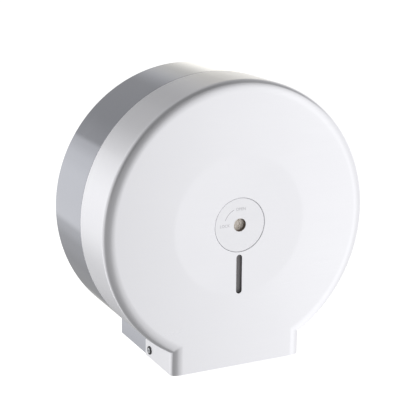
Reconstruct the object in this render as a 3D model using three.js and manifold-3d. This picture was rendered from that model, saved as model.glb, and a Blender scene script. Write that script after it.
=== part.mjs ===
// A wall dispenser for one large roll of toilet paper: a round steel drum in two halves,
// with a square paper outlet below. The front half swings down on two hinge screws at the
// outlet, a quarter-turn lock in its middle catches the end of the spindle, and the roll
// turns on a finned hub.
// Millimetres. X runs to the right as seen from the front, the front faces -Y, Z is up.
// The origin lies on the wall plane, on the axis of the drum.
import * as THREE from 'three';
import { mergeVertices } from 'three/addons/utils/BufferGeometryUtils.js';
import Module from 'manifold-3d';

const wasm = await Module();
wasm.setup();

// Drum and outlet
const DRUM_RADIUS = 135;
const BODY_DEPTH = 125;
const SKIRT_DEPTH = 57.5;
const SEAM_GAP = 0.5;
const OUTLET_HALF_WIDTH = 68.5;
const OUTLET_DROP = 3.8;

// Sheets and clearances
const COVER_SHEET = 1;
const CASE_SHEET = 1;
const BACK_SHEET = 1;
const NEST_GAP = 0.3;
const RUN_GAP = 0.3;
const SCREW_GAP = 0.3;
const OVERRUN = 1;
const MERGE_DISTANCE = 0.0001;

// Front face of the cover
const EDGE_RUN = 11.3;
const EDGE_FALL = 2.8;
const CREASE_ROUND = 1.2;
const DISH_RADIUS = 68.6;
const DISH_DEPTH = 0.8;

// Sight slot
const SIGHT_WIDTH = 6;
const SIGHT_LENGTH = 38;
const SIGHT_DROP = 2.7;
const LENS_BORDER = 4;
const LENS_THICKNESS = 1.5;
const TAPE_THICKNESS = 1.2;
const TAPE_MARGIN = 0.4;

// Hinge at the outlet
const HINGE_LEAD = 5.8;
const HINGE_RISE = 7.7;
const HINGE_SCREW_RADIUS = 2.3;
const HINGE_HEAD_RADIUS = 3;
const HINGE_HEAD_HEIGHT = 1.4;
const BUSH_WALL = 0.9;
const BUSH_FLANGE_RADIUS = 4.2;
const BUSH_FLANGE_THICKNESS = 0.8;
const HINGE_WASHER_RADIUS = 5;
const HINGE_WASHER_THICKNESS = 0.8;
const HINGE_NUT_RADIUS = 4.4;
const HINGE_NUT_THICKNESS = 3.2;
const THREAD_REACH = 1;

// Front lip of the case, which steps inside the cover's skirt
const LIP_LENGTH = 6;
const LIP_GAP = 0.4;

// Back plate
const RIM_DEPTH = 10;
const BEAD_INNER_RADIUS = 15;
const BEAD_OUTER_RADIUS = 39;
const BEAD_HEIGHT = 3;
const BEAD_SLOPE = 2;
const WALL_SLOT_SPACING = 150;
const WALL_SLOT_UPPER_Z = 72;
const WALL_SLOT_LOWER_Z = -62;
const WALL_SLOT_HEAD_RADIUS = 5;
const WALL_SLOT_NECK_WIDTH = 5.4;
const WALL_SLOT_NECK_LENGTH = 9;
const FLOOR_DEPTH = 34;
const FLOOR_RISE = 1.4;

// Tear bar
const TEAR_BAR_THICKNESS = 1.2;
const TEAR_BAR_OVERHANG = 2;
const TEAR_BAR_LAP = 13;
const TOOTH_LENGTH = 4;
const TOOTH_PITCH = 4;
const TEAR_BAR_END_GAP = 3;

// Rivets of the spindle base and of the tear bar
const RIVET_RADIUS = 2;
const RIVET_HEAD_RADIUS = 3.8;
const RIVET_HEAD_HEIGHT = 1.7;
const RIVET_TAIL_RADIUS = 3.2;
const RIVET_TAIL_HEIGHT = 1.2;

// Spindle
const SPINDLE_BASE_THICKNESS = 2.5;
const AXLE_RADIUS = 7;
const AXLE_FLANGE_RADIUS = 12;
const AXLE_FLANGE_THICKNESS = 2.5;
const AXLE_TAIL_RADIUS = 5;
const AXLE_TAIL_HEAD_RADIUS = 7.5;
const AXLE_TAIL_HEAD_HEIGHT = 2;
const AXLE_NOSE = 2;
const CATCH_STEM_RADIUS = 1.6;
const CATCH_HALF_WIDTH = 6.2;
const CATCH_THICKNESS = 2.4;

// Hub
const HUB_CORE_WALL = 3.6;
const HUB_FIN_RADIUS = 21.5;
const HUB_FIN_THICKNESS = 2.6;
const HUB_FLANGE_RADIUS = 45;
const HUB_FLANGE_THICKNESS = 2.5;
const HUB_NOSE_LENGTH = 12;
const HUB_NOSE_DROP = 6;
const HUB_WASHER_THICKNESS = 1;
const HUB_WASHER_WIDTH = 5;
const CLIP_THICKNESS = 1;
const CLIP_WIDTH = 3;
const CLIP_GROOVE_DEPTH = 0.9;

// Lock
const LOCK_PLATE_RADIUS = 25.6;
const LOCK_PLATE_THICKNESS = 1.6;
const KEYHOLE_RADIUS = 6.25;
const KEY_RECESS = 5;
const KEY_SOCKET_DEPTH = 3;
const KEY_SOCKET_RADIUS = 2.4;
const KEY_SLOT_LENGTH = 9.2;
const KEY_SLOT_WIDTH = 2;
const CUP_RADIUS = 7.6;
const CUP_WALL = 2.4;
const CUP_WEB = 3;
const CUP_FRONT_GAP = 1.8;
const CUP_REAR_GAP = 0.8;
const CATCH_LIP_THICKNESS = 2;
const ROTOR_TO_AXLE = 3;
const CLIP_EDGE = 0.8;
const CATCH_SLOT_HEIGHT = 6.4;
const HOUSING_WALL = 3;
const HOUSING_FLANGE_THICKNESS = 2;
const LOCK_SCREW_RADIUS = 1.4;
const LOCK_SCREW_HEAD_RADIUS = 2.7;
const LOCK_SCREW_HEAD_HEIGHT = 1.5;
const LOCK_SCREW_PLACE = 19;
const LOCK_BOSS_WALL = 1.2;
const LOCK_BOSS_SKIN = 0.6;

// Counts and shares
const DRUM_SEGMENTS = 60;
const OUTSIDE_STEPS = 3;
const INSIDE_STEPS = 2;
const FIN_STEPS = 3;
const NUT_SIDES = 6;
const ROUND_SEGMENTS = 24;
const SMALL_SEGMENTS = 12;
const HUB_FINS = 6;
const RIVETS = 4;
const LIP_END_SHARE = 0.42;
const OUTLET_TOP_SHARE = 0.78;
const EAR_ROUND_SHARE = 0.86;
const EAR_REACH_SHARE = 0.75;
const DOME_SHARE = 0.6;
const DOME_EDGE_SHARE = 0.8;
const TEAR_RIVET_SHARE = 0.7;
const CLIP_MOUTH_ANGLE = Math.PI / 5;

// Places along the depth
const FRONT_Y = -BODY_DEPTH;
const SKIRT_REAR_Y = FRONT_Y + SKIRT_DEPTH;
const CASE_FRONT_Y = SKIRT_REAR_Y + SEAM_GAP;
const HINGE_Y = SKIRT_REAR_Y - HINGE_LEAD;

// Places across and up
const OUTLET_BOTTOM_Z = -(DRUM_RADIUS + OUTLET_DROP);
const OUTLET_TOP_Z = -OUTLET_TOP_SHARE * DRUM_RADIUS;
const HINGE_Z = OUTLET_BOTTOM_Z + HINGE_RISE;
const COVER_INNER_HALF_WIDTH = OUTLET_HALF_WIDTH - COVER_SHEET;
const CASE_HALF_WIDTH = COVER_INNER_HALF_WIDTH - NEST_GAP;
const CASE_INNER_HALF_WIDTH = CASE_HALF_WIDTH - CASE_SHEET;
const BACK_HALF_WIDTH = CASE_INNER_HALF_WIDTH - NEST_GAP;
const HINGE_BORE_RADIUS = HINGE_SCREW_RADIUS + SCREW_GAP;

// The lock plate lies flush in a pressed seat in the middle of the cover.
const SEAT_RADIUS = LOCK_PLATE_RADIUS + NEST_GAP;
const PLATE_FRONT_Y = dishY(SEAT_RADIUS);
const SEAT_Y = PLATE_FRONT_Y + LOCK_PLATE_THICKNESS;
const SEAT_REAR_Y = SEAT_Y + COVER_SHEET;
const ROTOR_RADIUS = CUP_RADIUS + CUP_WALL;
const HOUSING_BORE_RADIUS = ROTOR_RADIUS + RUN_GAP;
const HOUSING_RADIUS = HOUSING_BORE_RADIUS + HOUSING_WALL;
const BOSS_RADIUS = LOCK_SCREW_RADIUS + LOCK_BOSS_WALL;
const ROTOR_FRONT_Y = PLATE_FRONT_Y + KEY_RECESS;

// The sight slot starts below the seat.
const SIGHT_TOP_Z = -(SEAT_RADIUS + SIGHT_DROP);
const SIGHT_CENTRE_Z = SIGHT_TOP_Z - SIGHT_LENGTH / 2;
const LENS_TOP_Z = -(SEAT_RADIUS + COVER_SHEET + NEST_GAP);
const TAPE_REAR_Y = dishY(-LENS_TOP_Z) + COVER_SHEET + NEST_GAP + TAPE_THICKNESS;

// Stack of the lock, from the front backward. The catch on the axle sits in a cup of the rotor.
const CUP_FRONT_Y = ROTOR_FRONT_Y + KEY_SOCKET_DEPTH + CUP_WEB;
const CATCH_FRONT_Y = CUP_FRONT_Y + CUP_FRONT_GAP;
const CATCH_REAR_Y = CATCH_FRONT_Y + CATCH_THICKNESS;
const CUP_REAR_Y = CATCH_REAR_Y + CUP_REAR_GAP;
const ROTOR_REAR_Y = CUP_REAR_Y + CATCH_LIP_THICKNESS;
const LOCK_CLIP_REAR_Y = ROTOR_REAR_Y - CLIP_EDGE;
const HOUSING_REAR_Y = LOCK_CLIP_REAR_Y - CLIP_THICKNESS - NEST_GAP;

// Stack of the spindle. The hub fills the length between its two washers.
const BASE_REAR_Y = -(BEAD_HEIGHT + BACK_SHEET);
const BASE_FRONT_Y = BASE_REAR_Y - SPINDLE_BASE_THICKNESS;
const FLANGE_FRONT_Y = BASE_FRONT_Y - AXLE_FLANGE_THICKNESS;
const HUB_REAR_Y = FLANGE_FRONT_Y - HUB_WASHER_THICKNESS - RUN_GAP;
const AXLE_FRONT_Y = ROTOR_REAR_Y + ROTOR_TO_AXLE;
const HUB_CLIP_REAR_Y = AXLE_FRONT_Y + AXLE_NOSE + CLIP_THICKNESS;
const FRONT_WASHER_REAR_Y = HUB_CLIP_REAR_Y + NEST_GAP + HUB_WASHER_THICKNESS;
const HUB_FRONT_Y = FRONT_WASHER_REAR_Y + RUN_GAP;
const HUB_BORE_RADIUS = AXLE_RADIUS + RUN_GAP;
const GROOVE_RADIUS = AXLE_RADIUS - CLIP_GROOVE_DEPTH;

// Floor of the outlet
const FLOOR_BOTTOM_Z = OUTLET_BOTTOM_Z + FLOOR_RISE;
const FLOOR_TOP_Z = FLOOR_BOTTOM_Z + BACK_SHEET;
const TEAR_RIVET_Y = -(FLOOR_DEPTH - TEAR_BAR_LAP / 2);

function dishY(radius) {
  return FRONT_Y + DISH_DEPTH * (1 - (radius / DISH_RADIUS) ** 2);
}

// A closed mesh that shares its vertices and faces outward, whichever way its outline was drawn.
function closed(geometry) {
  const bare = geometry.clone();
  bare.deleteAttribute('normal');
  bare.deleteAttribute('uv');
  const merged = mergeVertices(bare, MERGE_DISTANCE);
  const position = merged.getAttribute('position');
  const index = merged.getIndex();
  const corners = [new THREE.Vector3(), new THREE.Vector3(), new THREE.Vector3()];
  const faces = [];
  let volume = 0;
  for (let start = 0; start < index.count; start += 3) {
    const face = [index.getX(start), index.getX(start + 1), index.getX(start + 2)];
    if (new Set(face).size < 3) continue;
    corners.forEach((corner, place) => corner.fromBufferAttribute(position, face[place]));
    volume += corners[0].dot(corners[1].clone().cross(corners[2]));
    faces.push(face);
  }
  if (volume < 0) faces.forEach((face) => face.reverse());
  merged.setIndex(faces.flat());
  return merged;
}

function solidOf(geometry) {
  const mesh = closed(geometry);
  return new wasm.Manifold(
    new wasm.Mesh({
      numProp: 3,
      vertProperties: new Float32Array(mesh.getAttribute('position').array),
      triVerts: new Uint32Array(mesh.getIndex().array),
    }),
  );
}

function geometryOf(solid) {
  const mesh = solid.getMesh();
  const geometry = new THREE.BufferGeometry();
  geometry.setAttribute('position', new THREE.BufferAttribute(mesh.vertProperties, mesh.numProp));
  geometry.setIndex(new THREE.BufferAttribute(mesh.triVerts, 1));
  return geometry;
}

function join(first, ...others) {
  return geometryOf(others.reduce((solid, other) => solid.add(solidOf(other)), solidOf(first)));
}

function cut(first, ...tools) {
  return geometryOf(tools.reduce((solid, tool) => solid.subtract(solidOf(tool)), solidOf(first)));
}

function common(first, second) {
  return geometryOf(solidOf(first).intersect(solidOf(second)));
}

// A solid of revolution about the Y axis. The outline is a list of [radius, y] and closes itself.
function revolved(outline, segments = ROUND_SEGMENTS) {
  const points = outline.map(([radius, y]) => new THREE.Vector2(radius, y));
  if (points[0].x > 0) points.push(points[0].clone());
  return new THREE.LatheGeometry(points, segments);
}

function ring(inner, outer, frontY, rearY, segments = ROUND_SEGMENTS) {
  return revolved([[inner, frontY], [outer, frontY], [outer, rearY], [inner, rearY]], segments);
}

function disc(radius, frontY, rearY, segments = ROUND_SEGMENTS) {
  return revolved([[0, frontY], [radius, frontY], [radius, rearY], [0, rearY]], segments);
}

function box(lowX, highX, lowY, highY, lowZ, highZ) {
  const geometry = new THREE.BoxGeometry(highX - lowX, highY - lowY, highZ - lowZ);
  return geometry.translate((lowX + highX) / 2, (lowY + highY) / 2, (lowZ + highZ) / 2);
}

function flat(points) {
  return new THREE.Shape(points.map(([across, up]) => new THREE.Vector2(across, up)));
}

function circle(radius, across = 0, up = 0) {
  return new THREE.Shape().absarc(across, up, radius, 0, 2 * Math.PI);
}

function extruded(shape, depth, curveSegments = SMALL_SEGMENTS) {
  return new THREE.ExtrudeGeometry(shape, { depth, curveSegments, bevelEnabled: false });
}

// A shape drawn in X and Z, extruded from its rear plane toward the front.
function extrudedForward(shape, rearY, depth, curveSegments) {
  const axes = [new THREE.Vector3(1, 0, 0), new THREE.Vector3(0, 0, 1), new THREE.Vector3(0, -1, 0)];
  const turn = new THREE.Matrix4().makeBasis(...axes);
  return extruded(shape, depth, curveSegments).applyMatrix4(turn).translate(0, rearY, 0);
}

// A shape drawn in Y and Z, extruded toward +X.
function extrudedSideways(shape, lowX, depth, curveSegments) {
  const axes = [new THREE.Vector3(0, 1, 0), new THREE.Vector3(0, 0, 1), new THREE.Vector3(1, 0, 0)];
  const turn = new THREE.Matrix4().makeBasis(...axes);
  return extruded(shape, depth, curveSegments).applyMatrix4(turn).translate(lowX, 0, 0);
}

// The same piece on the other side of the middle plane.
function mirrored(geometry) {
  return closed(geometry).scale(-1, 1, 1);
}

// The inner surface of the sheet is drawn with fewer steps than the outside.
function bendSteps(sheet) {
  return sheet > 0 ? INSIDE_STEPS : OUTSIDE_STEPS;
}

// The softened front edge of the cover: a shallow arc that leaves the face level, then a small
// round at the crease. The wall is the drum's radius or the outlet's half width, and the two
// surfaces of the sheet bend about the same centre.
function frontEdge(wall, sheet) {
  const bend = (EDGE_RUN ** 2 + EDGE_FALL ** 2) / (2 * EDGE_FALL);
  const end = Math.asin((EDGE_RUN - CREASE_ROUND - sheet) / (bend - sheet));
  const path = new THREE.Path();
  path.absarc(wall - EDGE_RUN, FRONT_Y + bend, bend - sheet, -Math.PI / 2, end - Math.PI / 2);
  const skin = wall - sheet;
  const crease = FRONT_Y + EDGE_FALL + sheet;
  path.quadraticCurveTo(skin, crease, skin, crease + CREASE_ROUND);
  return path.getPoints(bendSteps(sheet)).map((point) => [point.x, point.y]);
}

// The round half of the cover as a filled solid, out to its outer or its inner surface.
function coverDrum(sheet, rearY) {
  const seat = SEAT_RADIUS + sheet;
  const middle = (seat + DISH_RADIUS) / 2;
  const dish = new THREE.Path();
  dish.moveTo(seat, dishY(SEAT_RADIUS) + sheet);
  dish.quadraticCurveTo(middle, dishY(middle) + sheet, DISH_RADIUS, FRONT_Y + sheet);
  return revolved(
    [
      [0, SEAT_Y + sheet],
      [seat, SEAT_Y + sheet],
      ...dish.getPoints(bendSteps(sheet)).map((point) => [point.x, point.y]),
      ...frontEdge(DRUM_RADIUS, sheet),
      [DRUM_RADIUS - sheet, rearY],
      [0, rearY],
    ],
    DRUM_SEGMENTS,
  );
}

// The outlet half of the cover as a filled solid, extruded upward with the same front edge.
function coverOutlet(sheet, rearY, bottomZ) {
  const right = frontEdge(OUTLET_HALF_WIDTH, sheet);
  const left = right.map(([across, depth]) => [-across, depth]).reverse();
  const side = OUTLET_HALF_WIDTH - sheet;
  const outline = flat([...right, [side, rearY], [-side, rearY], ...left]);
  return extruded(outline, OUTLET_TOP_Z - bottomZ).translate(0, 0, bottomZ);
}

// The ear of the cover's outlet wall, behind the skirt. It is rounded about the hinge,
// so that it turns under the drum without touching it.
function coverEar() {
  const junctionZ = -Math.sqrt(DRUM_RADIUS ** 2 - OUTLET_HALF_WIDTH ** 2);
  const round = EAR_ROUND_SHARE * (junctionZ - HINGE_Z);
  const reach = EAR_REACH_SHARE * round;
  const frontY = SKIRT_REAR_Y - OVERRUN;
  const startAngle = Math.acos(reach / round);
  const endAngle = Math.acos((frontY - HINGE_Y) / round);
  const outline = new THREE.Shape();
  outline.moveTo(frontY, OUTLET_BOTTOM_Z);
  outline.lineTo(HINGE_Y + reach, OUTLET_BOTTOM_Z);
  outline.absarc(HINGE_Y, HINGE_Z, round, startAngle, endAngle);
  return extrudedSideways(outline, COVER_INNER_HALF_WIDTH, COVER_SHEET);
}

function hingeBore(radius) {
  const length = 2 * (OUTLET_HALF_WIDTH + OVERRUN);
  return extrudedSideways(circle(radius, HINGE_Y, HINGE_Z), -length / 2, length);
}

function uprightSlot(width, topZ, length) {
  const radius = width / 2;
  const shape = new THREE.Shape();
  shape.absarc(0, topZ - radius, radius, 0, Math.PI);
  shape.absarc(0, topZ - length + radius, radius, Math.PI, 2 * Math.PI);
  return shape;
}

function lockScrewBores(radius, frontY, rearY) {
  return [-LOCK_SCREW_PLACE, LOCK_SCREW_PLACE].map((place) => {
    return extrudedForward(circle(radius, place), rearY, rearY - frontY);
  });
}

function frontCover() {
  const ear = coverEar();
  const outside = join(
    coverDrum(0, SKIRT_REAR_Y),
    coverOutlet(0, SKIRT_REAR_Y, OUTLET_BOTTOM_Z),
    ear,
    mirrored(ear),
  );
  const throughY = SEAT_REAR_Y + OVERRUN;
  const sight = uprightSlot(SIGHT_WIDTH, SIGHT_TOP_Z, SIGHT_LENGTH);
  return cut(
    outside,
    coverDrum(COVER_SHEET, 0),
    coverOutlet(COVER_SHEET, 0, OUTLET_BOTTOM_Z - OVERRUN),
    disc(HOUSING_RADIUS + NEST_GAP, FRONT_Y, throughY),
    ...lockScrewBores(BOSS_RADIUS + NEST_GAP, FRONT_Y, throughY),
    extrudedForward(sight, throughY, throughY - FRONT_Y + OVERRUN),
    hingeBore(HINGE_BORE_RADIUS + BUSH_WALL + NEST_GAP),
  );
}

// A rolled strip with the two outlet walls. The front edge steps inward into a lip that the
// cover closes over. The lip stops on both sides above the outlet, where the cover swings by.
function caseBand() {
  const skin = DRUM_RADIUS - CASE_SHEET;
  const lip = DRUM_RADIUS - COVER_SHEET - LIP_GAP;
  const lipSkin = lip - CASE_SHEET;
  const lipFrontY = CASE_FRONT_Y - LIP_LENGTH;
  const stepY = CASE_FRONT_Y + CASE_SHEET;
  const band = revolved(
    [
      [DRUM_RADIUS, 0],
      [DRUM_RADIUS, CASE_FRONT_Y],
      [lip, CASE_FRONT_Y],
      [lip, lipFrontY],
      [lipSkin, lipFrontY],
      [lipSkin, stepY],
      [skin, stepY],
      [skin, 0],
    ],
    DRUM_SEGMENTS,
  );
  const far = DRUM_RADIUS + OVERRUN;
  const beyondY = lipFrontY - OVERRUN;
  const lipEndZ = -LIP_END_SHARE * DRUM_RADIUS;
  const open = cut(
    band,
    box(-far, far, beyondY, CASE_FRONT_Y, -far, lipEndZ),
    box(-CASE_INNER_HALF_WIDTH, CASE_INNER_HALF_WIDTH, beyondY, OVERRUN, -far, OUTLET_TOP_Z),
  );
  const middleRadius = DRUM_RADIUS - CASE_SHEET / 2;
  const wallTopZ = -Math.sqrt(middleRadius ** 2 - (CASE_HALF_WIDTH - CASE_SHEET / 2) ** 2);
  const side = new THREE.Shape();
  side.moveTo(0, OUTLET_BOTTOM_Z);
  side.lineTo(0, wallTopZ);
  side.lineTo(CASE_FRONT_Y, wallTopZ);
  side.lineTo(CASE_FRONT_Y, HINGE_Z + HINGE_RISE);
  side.absarc(HINGE_Y, HINGE_Z, HINGE_RISE, Math.PI / 2, 1.5 * Math.PI);
  const wall = extrudedSideways(side, CASE_INNER_HALF_WIDTH, CASE_SHEET);
  return cut(join(open, wall, mirrored(wall)), hingeBore(HINGE_BORE_RADIUS));
}

// A screw head goes in at the round end of the slot and slides up into the neck.
function wallSlot(across, up) {
  const neck = WALL_SLOT_NECK_WIDTH / 2;
  const open = Math.asin(neck / WALL_SLOT_HEAD_RADIUS);
  const quarter = Math.PI / 2;
  const shape = new THREE.Shape();
  shape.absarc(across, up, WALL_SLOT_HEAD_RADIUS, quarter + open, quarter - open + 2 * Math.PI);
  shape.absarc(across, up + WALL_SLOT_NECK_LENGTH, neck, 0, Math.PI);
  return extrudedForward(shape, OVERRUN, BACK_SHEET + 2 * OVERRUN);
}

function rivetPlaces() {
  const radius = (BEAD_INNER_RADIUS + BEAD_OUTER_RADIUS) / 2;
  return Array.from({ length: RIVETS }, (_, index) => {
    const angle = (2 * Math.PI * (index + 1 / 2)) / RIVETS;
    return [radius * Math.cos(angle), radius * Math.sin(angle)];
  });
}

function rivetBores() {
  return rivetPlaces().map(([across, up]) => {
    const bore = circle(RIVET_RADIUS + SCREW_GAP, across, up);
    return extrudedForward(bore, 0, OVERRUN - BASE_FRONT_Y);
  });
}

function tearRivetPlaces() {
  const place = CASE_INNER_HALF_WIDTH * TEAR_RIVET_SHARE;
  return [-place, place];
}

function tearRivetBores() {
  return tearRivetPlaces().map((place) => {
    const bore = circle(RIVET_RADIUS + SCREW_GAP, place, TEAR_RIVET_Y);
    const length = BACK_SHEET + TEAR_BAR_THICKNESS + 2 * OVERRUN;
    return extruded(bore, length).translate(0, 0, FLOOR_BOTTOM_Z - OVERRUN);
  });
}

// A pressed pan: a rim inside the band, a raised bead for the spindle, four slots for wall
// screws, and a floor that is bent forward at the outlet.
function backPlate() {
  const rim = DRUM_RADIUS - CASE_SHEET - NEST_GAP;
  const rimSkin = rim - BACK_SHEET;
  const pan = revolved(
    [
      [0, 0],
      [BEAD_INNER_RADIUS - BEAD_SLOPE, 0],
      [BEAD_INNER_RADIUS, -BEAD_HEIGHT],
      [BEAD_OUTER_RADIUS, -BEAD_HEIGHT],
      [BEAD_OUTER_RADIUS + BEAD_SLOPE, 0],
      [rim, 0],
      [rim, -RIM_DEPTH],
      [rimSkin, -RIM_DEPTH],
      [rimSkin, -BACK_SHEET],
      [BEAD_OUTER_RADIUS + BEAD_SLOPE, -BACK_SHEET],
      [BEAD_OUTER_RADIUS, BASE_REAR_Y],
      [BEAD_INNER_RADIUS, BASE_REAR_Y],
      [BEAD_INNER_RADIUS - BEAD_SLOPE, -BACK_SHEET],
      [0, -BACK_SHEET],
    ],
    DRUM_SEGMENTS,
  );
  const half = BACK_HALF_WIDTH;
  const inner = half - BACK_SHEET;
  const far = DRUM_RADIUS + OVERRUN;
  const open = cut(pan, box(-inner, inner, -far, -BACK_SHEET, -far, OUTLET_TOP_Z));
  const apron = box(-half, half, -BACK_SHEET, 0, FLOOR_BOTTOM_Z, OUTLET_TOP_Z);
  const floor = box(-half, half, -FLOOR_DEPTH, 0, FLOOR_BOTTOM_Z, FLOOR_TOP_Z);
  const across = WALL_SLOT_SPACING / 2;
  return cut(
    join(open, apron, floor),
    wallSlot(-across, WALL_SLOT_UPPER_Z),
    wallSlot(across, WALL_SLOT_UPPER_Z),
    wallSlot(-across, WALL_SLOT_LOWER_Z),
    wallSlot(across, WALL_SLOT_LOWER_Z),
    ...rivetBores(),
    ...tearRivetBores(),
  );
}

// A toothed strip on the outlet floor. The teeth point forward, past the floor's edge.
function tearBar() {
  const half = BACK_HALF_WIDTH - TEAR_BAR_END_GAP;
  const rearY = -(FLOOR_DEPTH - TEAR_BAR_LAP);
  const rootY = -(FLOOR_DEPTH + TEAR_BAR_OVERHANG);
  const teeth = Math.round((2 * half) / TOOTH_PITCH);
  const pitch = (2 * half) / teeth;
  const outline = [[half, rearY], [-half, rearY], [-half, rootY]];
  for (let tooth = 0; tooth < teeth; tooth += 1) {
    outline.push([-half + pitch * (tooth + 1 / 2), rootY - TOOTH_LENGTH]);
    outline.push([-half + pitch * (tooth + 1), rootY]);
  }
  const bar = extruded(flat(outline), TEAR_BAR_THICKNESS).translate(0, 0, FLOOR_TOP_Z);
  return cut(bar, ...tearRivetBores());
}

// A rivet along Y with its domed head to the front. Its head bears at the origin, and its tail
// is spread behind the sheets that it grips.
function rivet(grip) {
  return revolved(
    [
      [0, -RIVET_HEAD_HEIGHT],
      [RIVET_HEAD_RADIUS * DOME_SHARE, -RIVET_HEAD_HEIGHT * DOME_EDGE_SHARE],
      [RIVET_HEAD_RADIUS, 0],
      [RIVET_RADIUS, 0],
      [RIVET_RADIUS, grip],
      [RIVET_TAIL_RADIUS, grip],
      [RIVET_TAIL_RADIUS, grip + RIVET_TAIL_HEIGHT],
      [0, grip + RIVET_TAIL_HEIGHT],
    ],
    SMALL_SEGMENTS,
  );
}

function spindleBase() {
  const base = ring(AXLE_TAIL_RADIUS + NEST_GAP, BEAD_OUTER_RADIUS, BASE_FRONT_Y, BASE_REAR_Y);
  return cut(base, ...rivetBores());
}

// A turned stud, riveted over behind its base. Its front end is a stem with a cross head, which
// the lock catches.
function spindleAxle() {
  const grooveFrontY = HUB_CLIP_REAR_Y - CLIP_THICKNESS - NEST_GAP;
  const grooveRearY = HUB_CLIP_REAR_Y + NEST_GAP;
  const stud = revolved([
    [0, CATCH_REAR_Y - CATCH_THICKNESS / 2],
    [CATCH_STEM_RADIUS, CATCH_REAR_Y - CATCH_THICKNESS / 2],
    [CATCH_STEM_RADIUS, AXLE_FRONT_Y],
    [AXLE_RADIUS, AXLE_FRONT_Y],
    [AXLE_RADIUS, grooveFrontY],
    [GROOVE_RADIUS, grooveFrontY],
    [GROOVE_RADIUS, grooveRearY],
    [AXLE_RADIUS, grooveRearY],
    [AXLE_RADIUS, FLANGE_FRONT_Y],
    [AXLE_FLANGE_RADIUS, FLANGE_FRONT_Y],
    [AXLE_FLANGE_RADIUS, BASE_FRONT_Y],
    [AXLE_TAIL_RADIUS, BASE_FRONT_Y],
    [AXLE_TAIL_RADIUS, BASE_REAR_Y],
    [AXLE_TAIL_HEAD_RADIUS, BASE_REAR_Y],
    [AXLE_TAIL_HEAD_RADIUS, BASE_REAR_Y + AXLE_TAIL_HEAD_HEIGHT],
    [0, BASE_REAR_Y + AXLE_TAIL_HEAD_HEIGHT],
  ]);
  const half = CATCH_THICKNESS / 2;
  const head = box(-CATCH_HALF_WIDTH, CATCH_HALF_WIDTH, CATCH_FRONT_Y, CATCH_REAR_Y, -half, half);
  return join(stud, head);
}

// A moulded hub: a bored core with radial fins for the roll's core, chamfered at the nose so
// that a roll slides on, and a round flange that the roll's end runs against.
function rollHub() {
  const core = HUB_BORE_RADIUS + HUB_CORE_WALL;
  const half = HUB_FIN_THICKNESS / 2;
  const foot = Math.asin(half / core);
  const tip = Math.asin(half / HUB_FIN_RADIUS);
  const star = new THREE.Shape();
  for (let fin = 0; fin < HUB_FINS; fin += 1) {
    const angle = (2 * Math.PI * fin) / HUB_FINS;
    const next = (2 * Math.PI * (fin + 1)) / HUB_FINS;
    star.absarc(0, 0, HUB_FIN_RADIUS, angle - tip, angle + tip);
    star.absarc(0, 0, core, angle + foot, next - foot);
  }
  const fins = extrudedForward(star, HUB_REAR_Y, HUB_REAR_Y - HUB_FRONT_Y, FIN_STEPS);
  const envelope = revolved([
    [0, HUB_FRONT_Y],
    [HUB_FIN_RADIUS - HUB_NOSE_DROP, HUB_FRONT_Y],
    [HUB_FIN_RADIUS + OVERRUN, HUB_FRONT_Y + HUB_NOSE_LENGTH],
    [HUB_FIN_RADIUS + OVERRUN, HUB_REAR_Y],
    [0, HUB_REAR_Y],
  ]);
  const flange = disc(HUB_FLANGE_RADIUS, HUB_REAR_Y - HUB_FLANGE_THICKNESS, HUB_REAR_Y);
  const bore = disc(HUB_BORE_RADIUS, HUB_FRONT_Y - OVERRUN, HUB_REAR_Y + OVERRUN);
  return cut(join(common(fins, envelope), flange), bore);
}

function hubWasher(rearY) {
  const bore = AXLE_RADIUS + RUN_GAP;
  return ring(bore, bore + HUB_WASHER_WIDTH, rearY - HUB_WASHER_THICKNESS, rearY);
}

// An open spring clip in a groove, with its mouth downward.
function springClip(grooveRadius, rearY) {
  const inner = grooveRadius + NEST_GAP;
  const start = -Math.PI / 2 + CLIP_MOUTH_ANGLE;
  const end = 1.5 * Math.PI - CLIP_MOUTH_ANGLE;
  const shape = new THREE.Shape();
  shape.absarc(0, 0, inner + CLIP_WIDTH, start, end);
  shape.absarc(0, 0, inner, end, start, true);
  return extrudedForward(shape, rearY, CLIP_THICKNESS, SMALL_SEGMENTS);
}

// A flush round plate with a collar round the keyhole and two bosses for its screws.
function lockPlate() {
  const collarRearY = ROTOR_FRONT_Y - RUN_GAP;
  const plate = revolved([
    [KEYHOLE_RADIUS, PLATE_FRONT_Y],
    [LOCK_PLATE_RADIUS, PLATE_FRONT_Y],
    [LOCK_PLATE_RADIUS, SEAT_Y],
    [HOUSING_BORE_RADIUS - NEST_GAP, SEAT_Y],
    [HOUSING_BORE_RADIUS - NEST_GAP, collarRearY],
    [KEYHOLE_RADIUS, collarRearY],
  ]);
  const bosses = lockScrewBores(BOSS_RADIUS, SEAT_Y - LOCK_BOSS_SKIN, SEAT_REAR_Y);
  const boreFrontY = PLATE_FRONT_Y + LOCK_BOSS_SKIN;
  const bores = lockScrewBores(LOCK_SCREW_RADIUS + SCREW_GAP, boreFrontY, SEAT_REAR_Y + OVERRUN);
  return cut(join(plate, ...bosses), ...bores);
}

function lockHousing() {
  const flangeRearY = SEAT_REAR_Y + HOUSING_FLANGE_THICKNESS;
  const flangeRadius = LOCK_SCREW_PLACE + LOCK_SCREW_HEAD_RADIUS + NEST_GAP;
  const housing = revolved([
    [HOUSING_BORE_RADIUS, SEAT_Y],
    [HOUSING_RADIUS, SEAT_Y],
    [HOUSING_RADIUS, SEAT_REAR_Y],
    [flangeRadius, SEAT_REAR_Y],
    [flangeRadius, flangeRearY],
    [HOUSING_RADIUS, flangeRearY],
    [HOUSING_RADIUS, HOUSING_REAR_Y],
    [HOUSING_BORE_RADIUS, HOUSING_REAR_Y],
  ]);
  const bore = LOCK_SCREW_RADIUS + SCREW_GAP;
  return cut(housing, ...lockScrewBores(bore, SEAT_Y, flangeRearY + OVERRUN));
}

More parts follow.
